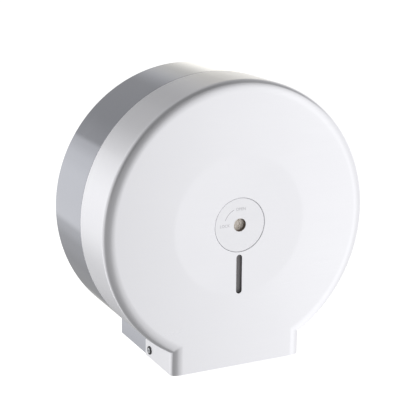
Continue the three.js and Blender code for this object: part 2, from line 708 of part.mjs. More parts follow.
// A small screw along Y that goes in from behind. Its head bears at the origin.
function lockScrew() {
  const reach = SEAT_REAR_Y + HOUSING_FLANGE_THICKNESS - PLATE_FRONT_Y - 2 * LOCK_BOSS_SKIN;
  return revolved(
    [
      [0, LOCK_SCREW_HEAD_HEIGHT],
      [LOCK_SCREW_HEAD_RADIUS * DOME_SHARE, LOCK_SCREW_HEAD_HEIGHT],
      [LOCK_SCREW_HEAD_RADIUS, 0],
      [LOCK_SCREW_RADIUS, 0],
      [LOCK_SCREW_RADIUS, -reach],
      [0, -reach],
    ],
    SMALL_SEGMENTS,
  );
}

// The lock core. The key goes in at the front. A slot in the rear wall lets the catch through
// when the core is at open, and the wall holds the catch when it has turned a quarter.
function lockRotor() {
  const grooveRadius = ROTOR_RADIUS - CLIP_GROOVE_DEPTH;
  const grooveFrontY = LOCK_CLIP_REAR_Y - CLIP_THICKNESS - NEST_GAP;
  const grooveRearY = LOCK_CLIP_REAR_Y + NEST_GAP;
  const barrel = revolved([
    [0, ROTOR_FRONT_Y],
    [ROTOR_RADIUS, ROTOR_FRONT_Y],
    [ROTOR_RADIUS, grooveFrontY],
    [grooveRadius, grooveFrontY],
    [grooveRadius, grooveRearY],
    [ROTOR_RADIUS, grooveRearY],
    [ROTOR_RADIUS, ROTOR_REAR_Y],
    [0, ROTOR_REAR_Y],
  ]);
  const socketRearY = ROTOR_FRONT_Y + KEY_SOCKET_DEPTH;
  const bitHalf = KEY_SLOT_WIDTH / 2;
  const bitReach = KEY_SLOT_LENGTH / 2;
  const bit = box(
    -bitHalf, bitHalf, ROTOR_FRONT_Y - OVERRUN, socketRearY, -bitReach, bitReach,
  );
  const slotHalf = CATCH_SLOT_HEIGHT / 2;
  const slot = box(
    -CUP_RADIUS, CUP_RADIUS, CUP_FRONT_Y, ROTOR_REAR_Y + OVERRUN, -slotHalf, slotHalf,
  );
  const cup = disc(CUP_RADIUS, CUP_FRONT_Y, CUP_REAR_Y);
  return cut(
    barrel,
    disc(KEY_SOCKET_RADIUS, ROTOR_FRONT_Y - OVERRUN, socketRearY, SMALL_SEGMENTS),
    bit,
    cup,
    common(slot, disc(CUP_RADIUS, CUP_FRONT_Y, ROTOR_REAR_Y + OVERRUN)),
  );
}

function lensOutline() {
  const width = SIGHT_WIDTH + 2 * LENS_BORDER;
  const lensLength = SIGHT_LENGTH + LENS_BORDER + SIGHT_DROP - COVER_SHEET - NEST_GAP;
  const half = width / 2;
  return flat([
    [-half, LENS_TOP_Z],
    [-half, LENS_TOP_Z - lensLength],
    [half, LENS_TOP_Z - lensLength],
    [half, LENS_TOP_Z],
  ]);
}

// A frame of foam tape holds the lens behind the slot.
function lensTape() {
  const tape = extrudedForward(lensOutline(), TAPE_REAR_Y, TAPE_THICKNESS);
  const width = SIGHT_WIDTH + 2 * TAPE_MARGIN;
  const opening = uprightSlot(width, SIGHT_TOP_Z + TAPE_MARGIN, SIGHT_LENGTH + 2 * TAPE_MARGIN);
  const depth = TAPE_THICKNESS + 2 * OVERRUN;
  return cut(tape, extrudedForward(opening, TAPE_REAR_Y + OVERRUN, depth));
}

function sightLens() {
  return extrudedForward(lensOutline(), TAPE_REAR_Y + LENS_THICKNESS, LENS_THICKNESS);
}

// Pieces on the hinge are drawn about the Y axis with their outer end toward +Y, then laid
// along X with that end to the right.
function hingeScrew() {
  const headX = OUTLET_HALF_WIDTH + BUSH_FLANGE_THICKNESS;
  const endX = CASE_INNER_HALF_WIDTH - HINGE_WASHER_THICKNESS - HINGE_NUT_THICKNESS - THREAD_REACH;
  return revolved(
    [
      [0, headX + HINGE_HEAD_HEIGHT],
      [HINGE_HEAD_RADIUS * DOME_SHARE, headX + HINGE_HEAD_HEIGHT * DOME_EDGE_SHARE],
      [HINGE_HEAD_RADIUS, headX],
      [HINGE_SCREW_RADIUS, headX],
      [HINGE_SCREW_RADIUS, endX],
      [0, endX],
    ],
    SMALL_SEGMENTS,
  );
}

function hingeBush() {
  const bore = HINGE_BORE_RADIUS;
  const flangeX = OUTLET_HALF_WIDTH + BUSH_FLANGE_THICKNESS;
  return revolved(
    [
      [bore, COVER_INNER_HALF_WIDTH],
      [bore, flangeX],
      [BUSH_FLANGE_RADIUS, flangeX],
      [BUSH_FLANGE_RADIUS, OUTLET_HALF_WIDTH],
      [bore + BUSH_WALL, OUTLET_HALF_WIDTH],
      [bore + BUSH_WALL, COVER_INNER_HALF_WIDTH],
    ],
    SMALL_SEGMENTS,
  );
}

function hingeWasher() {
  const outerX = CASE_INNER_HALF_WIDTH;
  const innerX = outerX - HINGE_WASHER_THICKNESS;
  return ring(HINGE_BORE_RADIUS, HINGE_WASHER_RADIUS, innerX, outerX, SMALL_SEGMENTS);
}

function hingeNut() {
  const outerX = CASE_INNER_HALF_WIDTH - HINGE_WASHER_THICKNESS;
  const hexagon = disc(HINGE_NUT_RADIUS, outerX - HINGE_NUT_THICKNESS, outerX, NUT_SIDES);
  const bore = disc(HINGE_BORE_RADIUS, 0, DRUM_RADIUS, SMALL_SEGMENTS);
  return cut(hexagon, bore);
}

const STEEL_SATIN = { color: 0xd9dadd, roughness: 0.42, metalness: 1 };
const STEEL_BRIGHT = { color: 0xc4c8cd, roughness: 0.16, metalness: 1 };
const STEEL_PLAIN = { color: 0xb4b8bd, roughness: 0.35, metalness: 1 };
const STEEL_SPRING = { color: 0x8d9196, roughness: 0.4, metalness: 1 };
const PLASTIC_LIGHT = { color: 0xe4e4e7, roughness: 0.45, metalness: 0 };
const PLASTIC_GREY = { color: 0x8f939a, roughness: 0.5, metalness: 0 };
const PLASTIC_DARK = { color: 0x2a2b2e, roughness: 0.45, metalness: 0 };
const ZINC_WARM = { color: 0xaaa096, roughness: 0.45, metalness: 0.8 };
const ACRYLIC_SMOKE = { color: 0x6a6c70, roughness: 0.12, metalness: 0 };
const FOAM_BLACK = { color: 0x232427, roughness: 0.9, metalness: 0 };

function piece(name, geometry, finish, ...place) {
  const material = new THREE.MeshStandardMaterial(finish);
  const skin = closed(geometry).toNonIndexed();
  skin.computeVertexNormals();
  const mesh = new THREE.Mesh(skin, material);
  mesh.name = name;
  mesh.position.set(...(place.length ? place : [0, 0, 0]));
  return mesh;
}

// The pieces of one side's hinge, laid along X at the hinge axis.
function hingeSide(name, geometry, finish, side) {
  const mesh = piece(name, geometry, finish, 0, HINGE_Y, HINGE_Z);
  mesh.rotation.z = (-side * Math.PI) / 2;
  return mesh;
}

const holder = new THREE.Group();
const fixed = new THREE.Group();
const cover = new THREE.Group();
const lock = new THREE.Group();
holder.add(fixed, cover);
cover.add(lock);

fixed.add(
  piece('back_plate', backPlate(), STEEL_PLAIN),
  piece('case_band', caseBand(), STEEL_BRIGHT),
  piece('tear_bar', tearBar(), STEEL_PLAIN),
  piece('spindle_base', spindleBase(), STEEL_PLAIN),
  piece('spindle_axle', spindleAxle(), STEEL_PLAIN),
  piece('hub_rear_washer', hubWasher(FLANGE_FRONT_Y), PLASTIC_DARK),
  piece('hub_front_washer', hubWasher(FRONT_WASHER_REAR_Y), PLASTIC_DARK),
  piece('hub_clip', springClip(GROOVE_RADIUS, HUB_CLIP_REAR_Y), STEEL_SPRING),
);

rivetPlaces().forEach(([across, up], index) => {
  const shape = rivet(SPINDLE_BASE_THICKNESS + BACK_SHEET);
  fixed.add(piece(`spindle_rivet_${index + 1}`, shape, STEEL_PLAIN, across, BASE_FRONT_Y, up));
});

tearRivetPlaces().forEach((across, index) => {
  const shape = rivet(TEAR_BAR_THICKNESS + BACK_SHEET).rotateX(-Math.PI / 2);
  const name = ['tear_bar_rivet_left', 'tear_bar_rivet_right'][index];
  fixed.add(piece(name, shape, STEEL_PLAIN, across, TEAR_RIVET_Y, FLOOR_TOP_Z + TEAR_BAR_THICKNESS));
});

holder.add(piece('roll_hub', rollHub(), PLASTIC_GREY));

cover.add(
  piece('front_cover', frontCover(), STEEL_SATIN),
  piece('lock_plate', lockPlate(), PLASTIC_LIGHT),
  piece('lock_housing', lockHousing(), PLASTIC_GREY),
  piece('sight_lens', sightLens(), ACRYLIC_SMOKE),
  piece('lens_tape', lensTape(), FOAM_BLACK),
);

lock.add(
  piece('lock_rotor', lockRotor(), ZINC_WARM),
  piece('lock_clip', springClip(ROTOR_RADIUS - CLIP_GROOVE_DEPTH, LOCK_CLIP_REAR_Y), STEEL_SPRING),
);

[['left', -1], ['right', 1]].forEach(([word, side]) => {
  const flangeRearY = SEAT_REAR_Y + HOUSING_FLANGE_THICKNESS;
  fixed.add(
    hingeSide(`hinge_screw_${word}`, hingeScrew(), STEEL_BRIGHT, side),
    hingeSide(`hinge_washer_${word}`, hingeWasher(), STEEL_PLAIN, side),
    hingeSide(`hinge_nut_${word}`, hingeNut(), STEEL_PLAIN, side),
  );
  cover.add(
    hingeSide(`hinge_bush_${word}`, hingeBush(), PLASTIC_DARK, side),
    piece(`lock_screw_${word}`, lockScrew(), STEEL_PLAIN, side * LOCK_SCREW_PLACE, flangeRearY, 0),
  );
});

export default holder;
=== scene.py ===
"""Looks of a wall dispenser for one large roll of toilet paper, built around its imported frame.

The front faces -Y, X runs to the right and Z is up. Lengths are in metres. The origin lies on
the wall, on the axis of the drum.
"""

import math

import bmesh
import bpy
from mathutils import Matrix, Vector


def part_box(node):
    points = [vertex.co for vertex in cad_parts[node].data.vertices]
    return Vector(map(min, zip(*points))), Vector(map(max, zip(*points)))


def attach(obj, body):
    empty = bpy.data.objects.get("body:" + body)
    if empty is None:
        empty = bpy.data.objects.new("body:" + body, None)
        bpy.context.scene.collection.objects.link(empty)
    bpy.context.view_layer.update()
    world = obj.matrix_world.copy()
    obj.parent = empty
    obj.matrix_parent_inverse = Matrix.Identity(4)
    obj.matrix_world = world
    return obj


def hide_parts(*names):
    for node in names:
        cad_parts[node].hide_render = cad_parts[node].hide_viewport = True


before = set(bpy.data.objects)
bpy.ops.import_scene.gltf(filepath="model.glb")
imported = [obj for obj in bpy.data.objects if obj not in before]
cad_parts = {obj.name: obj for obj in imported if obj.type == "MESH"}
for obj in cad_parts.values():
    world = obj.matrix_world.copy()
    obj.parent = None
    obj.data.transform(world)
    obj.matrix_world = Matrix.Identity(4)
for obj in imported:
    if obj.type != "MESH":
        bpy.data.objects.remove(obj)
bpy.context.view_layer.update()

bl_info = {
    "name": "Roll Dispenser Looks",
    "version": (1, 0, 0),
    "blender": (4, 5, 0),
    "location": "3D View > Sidebar > Dispenser",
    "description": "Builds the steel dispenser, its lock, its spindle and a plain studio",
    "category": "Object",
}

MM = 0.001
ORIGIN = (0, 0, 0)
AXIS_Y = (0, 1, 0)
AXIS_Z = (0, 0, 1)
MERGE_DISTANCE = 0.001 * MM
OVERRUN = 1 * MM


def depths(node):
    """Where a CAD node starts and ends along Y."""
    return [corner.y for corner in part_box(node)]


# Main places, read from the frame
DRUM_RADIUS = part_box("case_band")[1].x
FRONT_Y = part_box("front_cover")[0].y
OUTLET_BOTTOM_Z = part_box("front_cover")[0].z
HINGE = sum(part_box("hinge_screw_right"), Vector()) / 2
PLATE_FRONT_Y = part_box("lock_plate")[0].y
ROTOR_FRONT_Y, ROTOR_REAR_Y = depths("lock_rotor")
ROTOR_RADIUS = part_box("lock_rotor")[1].x
BASE_FRONT_Y, BASE_REAR_Y = depths("spindle_base")
BAR_LOW, BAR_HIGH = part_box("tear_bar")
BAR_THICKNESS = BAR_HIGH.z - BAR_LOW.z

# Sheets, gaps and the cover's front edge
SHEET = 1 * MM
NEST_GAP = 0.3 * MM
SKIRT_REAR_Y = FRONT_Y + 57.5 * MM
CASE_FRONT_Y = SKIRT_REAR_Y + 0.5 * MM
OUTLET_HALF_WIDTH = 68.5 * MM
COVER_INNER_HALF_WIDTH = OUTLET_HALF_WIDTH - SHEET
CASE_HALF_WIDTH = COVER_INNER_HALF_WIDTH - NEST_GAP
CASE_INNER_HALF_WIDTH = CASE_HALF_WIDTH - SHEET
BACK_HALF_WIDTH = CASE_INNER_HALF_WIDTH - NEST_GAP
OUTLET_TOP_Z = -0.78 * DRUM_RADIUS
EDGE_RUN = 11.3 * MM
EDGE_FALL = 2.8 * MM
CREASE_ROUND = 3 * MM
DISH_RADIUS = 68.6 * MM
DISH_DEPTH = 0.8 * MM
EAR_ROUND_SHARE = 0.86
EAR_REACH_SHARE = 0.75

# Lock plate, sight slot and hinge
LOCK_PLATE_RADIUS = 25.6 * MM
SEAT_RADIUS = LOCK_PLATE_RADIUS + NEST_GAP
SEAT_Y = PLATE_FRONT_Y + 1.6 * MM
SEAT_REAR_Y = SEAT_Y + SHEET
KEYHOLE_RADIUS = 6.25 * MM
HOUSING_BORE_RADIUS = ROTOR_RADIUS + NEST_GAP
HOUSING_RADIUS = HOUSING_BORE_RADIUS + 3 * MM
LOCK_SCREW_PLACE = 19 * MM
LOCK_SCREW_RADIUS = 1.4 * MM
LOCK_SCREW_BORE = LOCK_SCREW_RADIUS + NEST_GAP
LOCK_BOSS_RADIUS = 2.6 * MM
SIGHT_HALF_WIDTH = 3 * MM
SIGHT_TOP_Z = -(SEAT_RADIUS + 2.7 * MM)
SIGHT_LENGTH = 38 * MM
HINGE_RISE = 7.7 * MM
HINGE_SCREW_RADIUS = 2.3 * MM
HINGE_BORE = HINGE_SCREW_RADIUS + NEST_GAP
BUSH_RADIUS = 3.5 * MM

# Rivets
RIVET_BORE = 2.3 * MM
RIVET_CIRCLE = 27 * MM
BAR_RIVET_X = 0.7 * CASE_INNER_HALF_WIDTH
BAR_RIVET_Y = -27.5 * MM

# Numbers of steps on round forms
DRUM_STEPS = 240
ROUND_STEPS = 96
SMALL_STEPS = 48
ARC_STEPS = 12
HEXAGON = 6

# Camera, matched to the photographed angle
CAMERA_PLACE = Vector((-0.4882, -1.0262, 0.2929))
CAMERA_AIM = Vector((0.0026, -0.0575, -0.0025))
CAMERA_ROLL = math.radians(0.83)
FOCAL_LENGTH_MM = 99
SENSOR_WIDTH_MM = 36

finishes = {}


def linear(text):
    """An sRGB hex colour as linear values."""
    parts = [int(text[start : start + 2], 16) / 255 for start in (1, 3, 5)]
    curve = [part / 12.92 if part <= 0.04045 else ((part + 0.055) / 1.055) ** 2.4 for part in parts]
    return (*curve, 1)


def darkened(colour, share):
    """The same colour with less light."""
    return (*[part * share for part in colour[:3]], 1)


class DispenserColours(bpy.types.PropertyGroup):
    """Colours of the two large steel sheets, as they look in plain light"""

    cover: bpy.props.FloatVectorProperty(
        name="Satin steel", description="Brushed sheet of the cover", subtype="COLOR", size=3,
        min=0, max=1, default=linear("#fbfbff")[:3],
    )
    drum: bpy.props.FloatVectorProperty(
        name="Bright steel", description="Polished sheet of the case", subtype="COLOR", size=3,
        min=0, max=1, default=linear("#c9cbd3")[:3],
    )


LENGTH_FIELD = {"unit": "LENGTH", "subtype": "DISTANCE", "precision": 5}


class DispenserSizes(bpy.types.PropertyGroup):
    """Small sizes of the edges and marks"""

    edge_round: bpy.props.FloatProperty(
        name="Edge round", description="Rounding on the cut edges of the steel sheets",
        default=0.2 * MM, min=0, max=0.4 * MM, **LENGTH_FIELD,
    )
    seat_round: bpy.props.FloatProperty(
        name="Seat round", description="Rounding of the pressed seat round the lock plate",
        default=0.35 * MM, min=0, max=0.5 * MM, **LENGTH_FIELD,
    )
    word_width: bpy.props.FloatProperty(
        name="Word width", description="Width of the printed words beside the keyhole",
        default=10 * MM, min=4 * MM, max=12 * MM, **LENGTH_FIELD,
    )


# Modelling


def swept(bm, geometry, axis, centre, angle, steps, merge=False):
    """Sweeps points, edges or faces round an axis and returns the last ones."""
    return bmesh.ops.spin(
        bm, geom=geometry, cent=centre, axis=axis, dvec=ORIGIN, angle=angle, steps=steps,
        use_merge=merge, use_normal_flip=False, use_duplicate=False,
    )["geom_last"]


class Arc:
    """An arc that goes on from the last point, about a centre, by an angle."""

    def __init__(self, across, along, angle, steps=ARC_STEPS):
        self.centre = (across, along, 0)
        self.angle = angle
        self.steps = steps


def draw(bm, steps, close=True):
    """Draws a line in the XY plane from points (x, y, rounding) and arcs."""
    first = last = None
    corners = []
    for step in steps:
        if isinstance(step, Arc):
            last = swept(bm, [last], AXIS_Z, step.centre, step.angle, step.steps)[0]
            continue
        vert = bm.verts.new((step[0], step[1], 0))
        if last:
            bm.edges.new((last, vert))
        first = first or vert
        last = vert
        if len(step) > 2 and step[2]:
            corners.append((vert, step[2]))
    if close:
        bm.edges.new((last, first))
    for vert, rounding in corners:
        bmesh.ops.bevel(
            bm, geom=[vert], offset=rounding, offset_type="OFFSET", segments=4, profile=0.5,
            affect="VERTICES", material=-1, clamp_overlap=True,
        )


def tidy_up(bm):
    """Merges doubles and turns every face outward."""
    bmesh.ops.remove_doubles(bm, verts=bm.verts, dist=MERGE_DISTANCE)
    bmesh.ops.recalc_face_normals(bm, faces=bm.faces)
    return bm


def spun(steps, segments=ROUND_STEPS, close=True):
    """A solid of revolution about Y, from points (radius, y, rounding)."""
    bm = bmesh.new()
    draw(bm, steps, close)
    swept(bm, bm.verts[:] + bm.edges[:], AXIS_Y, ORIGIN, 2 * math.pi, segments, merge=True)
    return tidy_up(bm)


def disc(radius, front_y, rear_y, segments=ROUND_STEPS, edge=0):
    """A round slab about Y."""
    steps = [(0, front_y), (radius, front_y, edge), (radius, rear_y, edge), (0, rear_y)]
    return spun(steps, segments, close=False)


def ring(inner, outer, front_y, rear_y, segments=ROUND_STEPS, edge=0):
    """A flat ring about Y."""
    corners = [(inner, front_y), (outer, front_y), (outer, rear_y), (inner, rear_y)]
    return spun([(*corner, edge) for corner in corners], segments)


def thicken(bm, depth):
    """Fills a closed line in the XY plane and extrudes it along Z."""
    bmesh.ops.contextual_create(bm, geom=bm.edges[:])
    pushed = bmesh.ops.extrude_face_region(bm, geom=bm.faces[:])
    verts = [item for item in pushed["geom"] if isinstance(item, bmesh.types.BMVert)]
    bmesh.ops.translate(bm, vec=(0, 0, depth), verts=verts)
    return tidy_up(bm)


def extruded(steps, depth, lay=Matrix.Identity(4)):
    """A shape drawn in the XY plane, extruded along Z and then laid elsewhere."""
    bm = bmesh.new()
    draw(bm, steps)
    thicken(bm, depth)
    bmesh.ops.transform(bm, matrix=lay, verts=bm.verts)
    return tidy_up(bm)


def facing_front(steps, rear_y, depth):
    """A shape drawn in X and Z, extruded from its rear toward the front."""
    return extruded(steps, depth, Matrix(((1, 0, 0, 0), (0, 0, -1, rear_y), (0, 1, 0, 0), (0, 0, 0, 1))))


def facing_side(steps, low_x, depth):
    """A shape drawn in Y and Z, extruded toward +X."""
    return extruded(steps, depth, Matrix(((0, 0, 1, low_x), (1, 0, 0, 0), (0, 1, 0, 0), (0, 0, 0, 1))))


def block(low, high):
    """A box between two corners."""
    bm = bmesh.new()
    bmesh.ops.create_cube(bm, size=1)
    low, high = Vector(low), Vector(high)
    bmesh.ops.scale(bm, vec=high - low, verts=bm.verts)
    bmesh.ops.translate(bm, vec=(low + high) / 2, verts=bm.verts)
    return bm


def moved(bm, x=0, y=0, z=0):
    bmesh.ops.translate(bm, vec=(x, y, z), verts=bm.verts)
    return bm


def turned(bm, angle, axis):
    bmesh.ops.rotate(bm, cent=ORIGIN, matrix=Matrix.Rotation(angle, 3, axis), verts=bm.verts)
    return bm


def mirrored(bm):
    """The same shape on the other side of the middle plane."""
    twin = bm.copy()
    bmesh.ops.scale(twin, vec=(-1, 1, 1), verts=twin.verts)
    return tidy_up(twin)


def body_of(bm, name="shape"):
    """A mesh object from a bmesh."""
    mesh = bpy.data.meshes.new(name)
    bm.to_mesh(mesh)
    bm.free()
    piece = bpy.data.objects.new(name, mesh)
    bpy.context.scene.collection.objects.link(piece)
    return piece


def apply_modifiers(piece):
    evaluated = piece.evaluated_get(bpy.context.evaluated_depsgraph_get())
    mesh = bpy.data.meshes.new_from_object(evaluated)
    piece.modifiers.clear()
    piece.data = mesh


def combined(base, operation, *tools):
    """The base with other shapes joined to it, cut from it or kept in common."""
    for tool in tools:
        operand = body_of(tool, "tool")
        step = base.modifiers.new("Combine", "BOOLEAN")
        step.operation = operation
        step.object = operand
        step.solver = "MANIFOLD"
        apply_modifiers(base)
        bpy.data.objects.remove(operand)
    return base


def joined(base, *tools):
    return combined(base, "UNION", *tools)


def cut(base, *tools):
    return combined(base, "DIFFERENCE", *tools)


def shade(piece, edge=0):
    """Rounds the sharp edges, if asked, and smooths the shading between them."""
    sharp = math.radians(32)
    if edge:
        bevel = piece.modifiers.new("Edge", "BEVEL")
        bevel.width = edge
        bevel.segments = 2
        bevel.limit_method = "ANGLE"
        bevel.angle_limit = sharp
        bevel.use_clamp_overlap = True
        apply_modifiers(piece)
    mesh = piece.data
    mesh.polygons.foreach_set("use_smooth", [True] * len(mesh.polygons))
    mesh.set_sharp_from_angle(angle=sharp)
    even = piece.modifiers.new("Even shading", "WEIGHTED_NORMAL")
    even.keep_sharp = True
    even.weight = 100
    apply_modifiers(piece)
    return piece


def round_skirt(piece, radius):
    """Gives the faces of a drum's wall the exact normals of the round form."""
    level_enough, near_wall_share, same_way = 0.01, 0.99, 0.99
    mesh = piece.data
    normals = [Vector(corner.vector) for corner in mesh.corner_normals]
    for face in mesh.polygons:
        reach = math.hypot(face.center.x, face.center.z)
        if abs(face.normal.y) > level_enough or reach < near_wall_share * radius:
            continue
        for corner in face.loop_indices:
            spot = mesh.vertices[mesh.loops[corner].vertex_index].co
            outward = Vector((spot.x, 0, spot.z)).normalized()
            if outward.dot(face.normal) > same_way:
                normals[corner] = outward
    mesh.normals_split_custom_set(normals)


def place(piece, name, finish, body, *nodes, slot=None):
    """Names a finished piece, gives it its finish and seats it on its body."""
    piece.name = name
    piece.data.name = name
    piece.data.materials.clear()
    piece.data.materials.append(finishes[finish])
    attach(piece, body)
    if nodes:
        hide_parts(*nodes)


# Materials


def feed(tree, node, inputs):
    """Gives a node's inputs their values, or links them from sockets or from a node's result."""
    for key, value in inputs.items():
        if isinstance(value, bpy.types.Node):
            value = next(socket for socket in value.outputs if socket.enabled)
        if isinstance(value, bpy.types.NodeSocket):
            tree.links.new(value, node.inputs[key])
        else:
            node.inputs[key].default_value = value


def add(tree, kind, inputs=None, **settings):
    """Adds a node with its settings and the values or links of its inputs."""
    node = tree.nodes.new("ShaderNode" + kind)
    for key, value in settings.items():
        setattr(node, key, value)
    feed(tree, node, inputs or {})
    return node


def new_finish(name, **constants):
    """A material with one Principled shader and its constant inputs."""
    material = bpy.data.materials.new(name)
    material.use_nodes = True
    tree = material.node_tree
    shader = tree.nodes["Principled BSDF"]
    feed(tree, shader, {key.replace("_", " "): value for key, value in constants.items()})
    return material, tree, shader


# Noise lies mostly between these two levels
NOISE_LOW, NOISE_HIGH = 0.3, 0.7


def grained(name, tones, blotch, grain, rough, relief=0, **constants):
    """A finish in two tones, with blotches of one noise and the fine grain of another.

    Each noise is a size in metres and a detail. The grain gives the roughness and the relief.
    """
    material, tree, shader = new_finish(name, **constants)
    spot = add(tree, "TexCoord").outputs["Object"]
    drift, fine = (
        add(tree, "TexNoise", {"Vector": spot, "Scale": 1 / size, "Detail": detail})
        for size, detail in (blotch, grain)
    )
    span = {"From Min": NOISE_LOW, "From Max": NOISE_HIGH, "To Min": rough[0], "To Max": rough[1]}
    feed(tree, shader, {
        "Base Color": add(
            tree, "Mix", {"Factor": drift, "A": tones[0], "B": tones[1]}, data_type="RGBA"
        ),
        "Roughness": add(tree, "MapRange", {"Value": fine, **span}),
    })
    if relief:
        feed(tree, shader, {"Normal": add(tree, "Bump", {"Height": fine, "Distance": relief})})
    return material


def satin_steel():
    """Stainless steel sheet, brushed: fine level scratches blur what it reflects."""
    base = (*bpy.context.scene.dispenser_colours.cover, 1)
    material, tree, shader = new_finish("satin_brushed_stainless", Metallic=1)
    shader.inputs["Anisotropic Rotation"].default_value = 0.25
    spot = add(tree, "TexCoord").outputs
    # The scratches are 0.1 mm apart on the real sheet, and are drawn 0.8 mm apart and 60 mm long.
    across = 1 / (0.8 * MM)
    along = 1 / (60 * MM)
    face, skirt = (
        add(tree, "TexNoise", {
            "Vector": add(tree, "Mapping", {"Vector": spot["Object"], "Scale": scale}),
            "Scale": 1, "Detail": 3,
        })
        for scale in ((along, along, across), (along, across, along))
    )
    depth = add(tree, "SeparateXYZ", {"Vector": spot["Normal"]}).outputs["Y"]
    level = add(tree, "Math", {0: depth}, operation="ABSOLUTE")
    grain = add(tree, "Mix", {"Factor": level, "A": skirt, "B": face}, data_type="FLOAT")
    streaks = add(tree, "MapRange", {
        "Value": grain, "From Min": NOISE_LOW, "From Max": NOISE_HIGH, "To Min": 0.27, "To Max": 0.3,
    })
    # Handling leaves clouds about 90 mm wide.
    clouds = add(tree, "TexNoise", {"Vector": spot["Object"], "Scale": 1 / (90 * MM), "Detail": 2})
    smears = add(tree, "MapRange", {
        "Value": clouds, "From Min": NOISE_LOW, "From Max": NOISE_HIGH, "To Min": 0, "To Max": 0.03,
    })
    feed(tree, shader, {
        "Base Color": add(
            tree, "Mix", {"Factor": grain, "A": base, "B": darkened(base, 0.985)}, data_type="RGBA"
        ),
        "Roughness": add(tree, "Math", {0: streaks, 1: smears}, operation="ADD"),
        # Round the skirt the scratches run along the sheet, and reflections spread across them.
        "Anisotropic": add(tree, "Math", {0: level, 1: -0.8, 2: 0.8}, operation="MULTIPLY_ADD"),
        "Tangent": add(tree, "Tangent", direction_type="RADIAL", axis="Y"),
        "Normal": add(tree, "Bump", {"Height": grain, "Distance": 0.0008 * MM}),
    })
    return material


def bright_steel():
    """Stainless steel sheet, polished: a near mirror with faint rolling waves and smears."""
    base = (*bpy.context.scene.dispenser_colours.drum, 1)
    smear = (25 * MM, 4)
    material = grained(
        "polished_stainless", (base, darkened(base, 0.96)), smear, smear, (0.05, 0.09), Metallic=1
    )
    # The rolled sheet is very slightly wavy, with crests about 70 mm apart.
    tree = material.node_tree
    spot = add(tree, "TexCoord").outputs["Object"]
    stretched = add(tree, "Mapping", {"Vector": spot, "Scale": (1, 0.35, 1)})
    waves = add(tree, "TexNoise", {"Vector": stretched, "Scale": 1 / (70 * MM), "Detail": 1})
    bump = add(tree, "Bump", {"Height": waves, "Distance": 0.25 * MM})
    feed(tree, tree.nodes["Principled BSDF"], {"Normal": bump})
    return material


def mill_steel(name, colour, rough):
    """Cold-rolled or turned steel as it leaves the mill: grey, with a fine uneven grain."""
    base = linear(colour)
    return grained(
        name, (base, darkened(base, 0.82)), (14 * MM, 3), (0.9 * MM, 4), rough, 0.006 * MM,
        Metallic=1,
    )


def moulded_plastic(name, colour, share, rough):
    """ABS or nylon, moulded in a lightly eroded tool: an even colour with a fine dull grain."""
    base = linear(colour)
    return grained(
        name, (base, darkened(base, share)), (18 * MM, 2), (0.5 * MM, 2),
        (rough - 0.06, rough + 0.06), 0.015 * MM, IOR=1.52,
    )


def smoked_acrylic():
    """Cast acrylic sheet, smoke grey: half clear, so that it looks dim over the dark inside."""
    scuffs = (2 * MM, 4)
    return grained(
        "smoked_acrylic", (linear("#a3a0a2"), linear("#979496")), scuffs, scuffs, (0.03, 0.09),
        IOR=1.49, Transmission_Weight=0.5,
    )


def printed_ink():
    """Pad-printed ink, silver grey and thin, slightly broken at the grain."""
    specks = (0.4 * MM, 2)
    return grained(
        "grey_print", (linear("#b9b8bd"), linear("#c9c8cc")), specks, specks, (0.45, 0.6), IOR=1.5
    )


def cast_zinc():
    """Die-cast zinc alloy, tumbled: warm pale grey, with soft pits."""
    material, tree, shader = new_finish("tumbled_zinc", Metallic=0.35)
    spot = add(tree, "TexCoord").outputs["Object"]
    pits = add(tree, "TexNoise", {"Vector": spot, "Scale": 1 / (1.1 * MM), "Detail": 3})
    span = {"Value": pits, "From Min": NOISE_LOW, "From Max": NOISE_HIGH}
    tones = {"A": linear("#fbf4ec"), "B": linear("#e0d6ca")}
    feed(tree, shader, {
        "Base Color": add(
            tree, "Mix", {"Factor": add(tree, "MapRange", span), **tones}, data_type="RGBA"
        ),
        "Roughness": add(tree, "MapRange", {**span, "To Min": 0.34, "To Max": 0.5}),
        "Normal": add(tree, "Bump", {"Height": pits, "Distance": 0.03 * MM}),
    })
    return material


def foam_tape():
    """Closed-cell foam with adhesive: dark grey, dull and finely pitted."""
    material, tree, shader = new_finish("black_foam_tape", IOR=1.45)
    spot = add(tree, "TexCoord").outputs["Object"]
    cells = add(tree, "TexVoronoi", {"Vector": spot, "Scale": 1 / (0.6 * MM)})
    span = {"Value": cells, "From Min": NOISE_LOW, "From Max": NOISE_HIGH}
    tones = {"A": linear("#3a3a3d"), "B": linear("#4c4c50")}
    feed(tree, shader, {
        "Base Color": add(tree, "Mix", {"Factor": cells, **tones}, data_type="RGBA"),
        "Roughness": add(tree, "MapRange", {**span, "To Min": 0.85, "To Max": 0.95}),
        "Normal": add(tree, "Bump", {"Height": cells, "Distance": 0.08 * MM}),
    })
    return material


def make_finishes():
    finishes.update(
        satin_steel=satin_steel(),
        bright_steel=bright_steel(),
        plain_steel=mill_steel("cold_rolled_steel", "#b9bcc1", (0.3, 0.42)),
        screw_steel=mill_steel("zinc_plated_steel", "#cfd2d6", (0.2, 0.32)),
        spring_steel=mill_steel("oiled_spring_steel", "#8d9196", (0.32, 0.45)),
        light_plastic=moulded_plastic("white_moulded_abs", "#f6f6fa", 0.97, 0.42),
        grey_plastic=moulded_plastic("grey_moulded_abs", "#8f939a", 0.93, 0.48),
        dark_plastic=moulded_plastic("black_moulded_nylon", "#26272a", 0.8, 0.45),
        # Dark brown for the key's bore: painted shade inside the keyhole.
        brown_plastic=moulded_plastic("bore_painted_shade_nylon", "#5c4f48", 0.85, 0.4),
        zinc=cast_zinc(),
        smoked_acrylic=smoked_acrylic(),
        foam=foam_tape(),
        ink=printed_ink(),
    )


# Cover


def dish_y(radius):
    """The depth of the shallow dish's surface at a distance from its middle."""
    return FRONT_Y + DISH_DEPTH * (1 - (radius / DISH_RADIUS) ** 2)


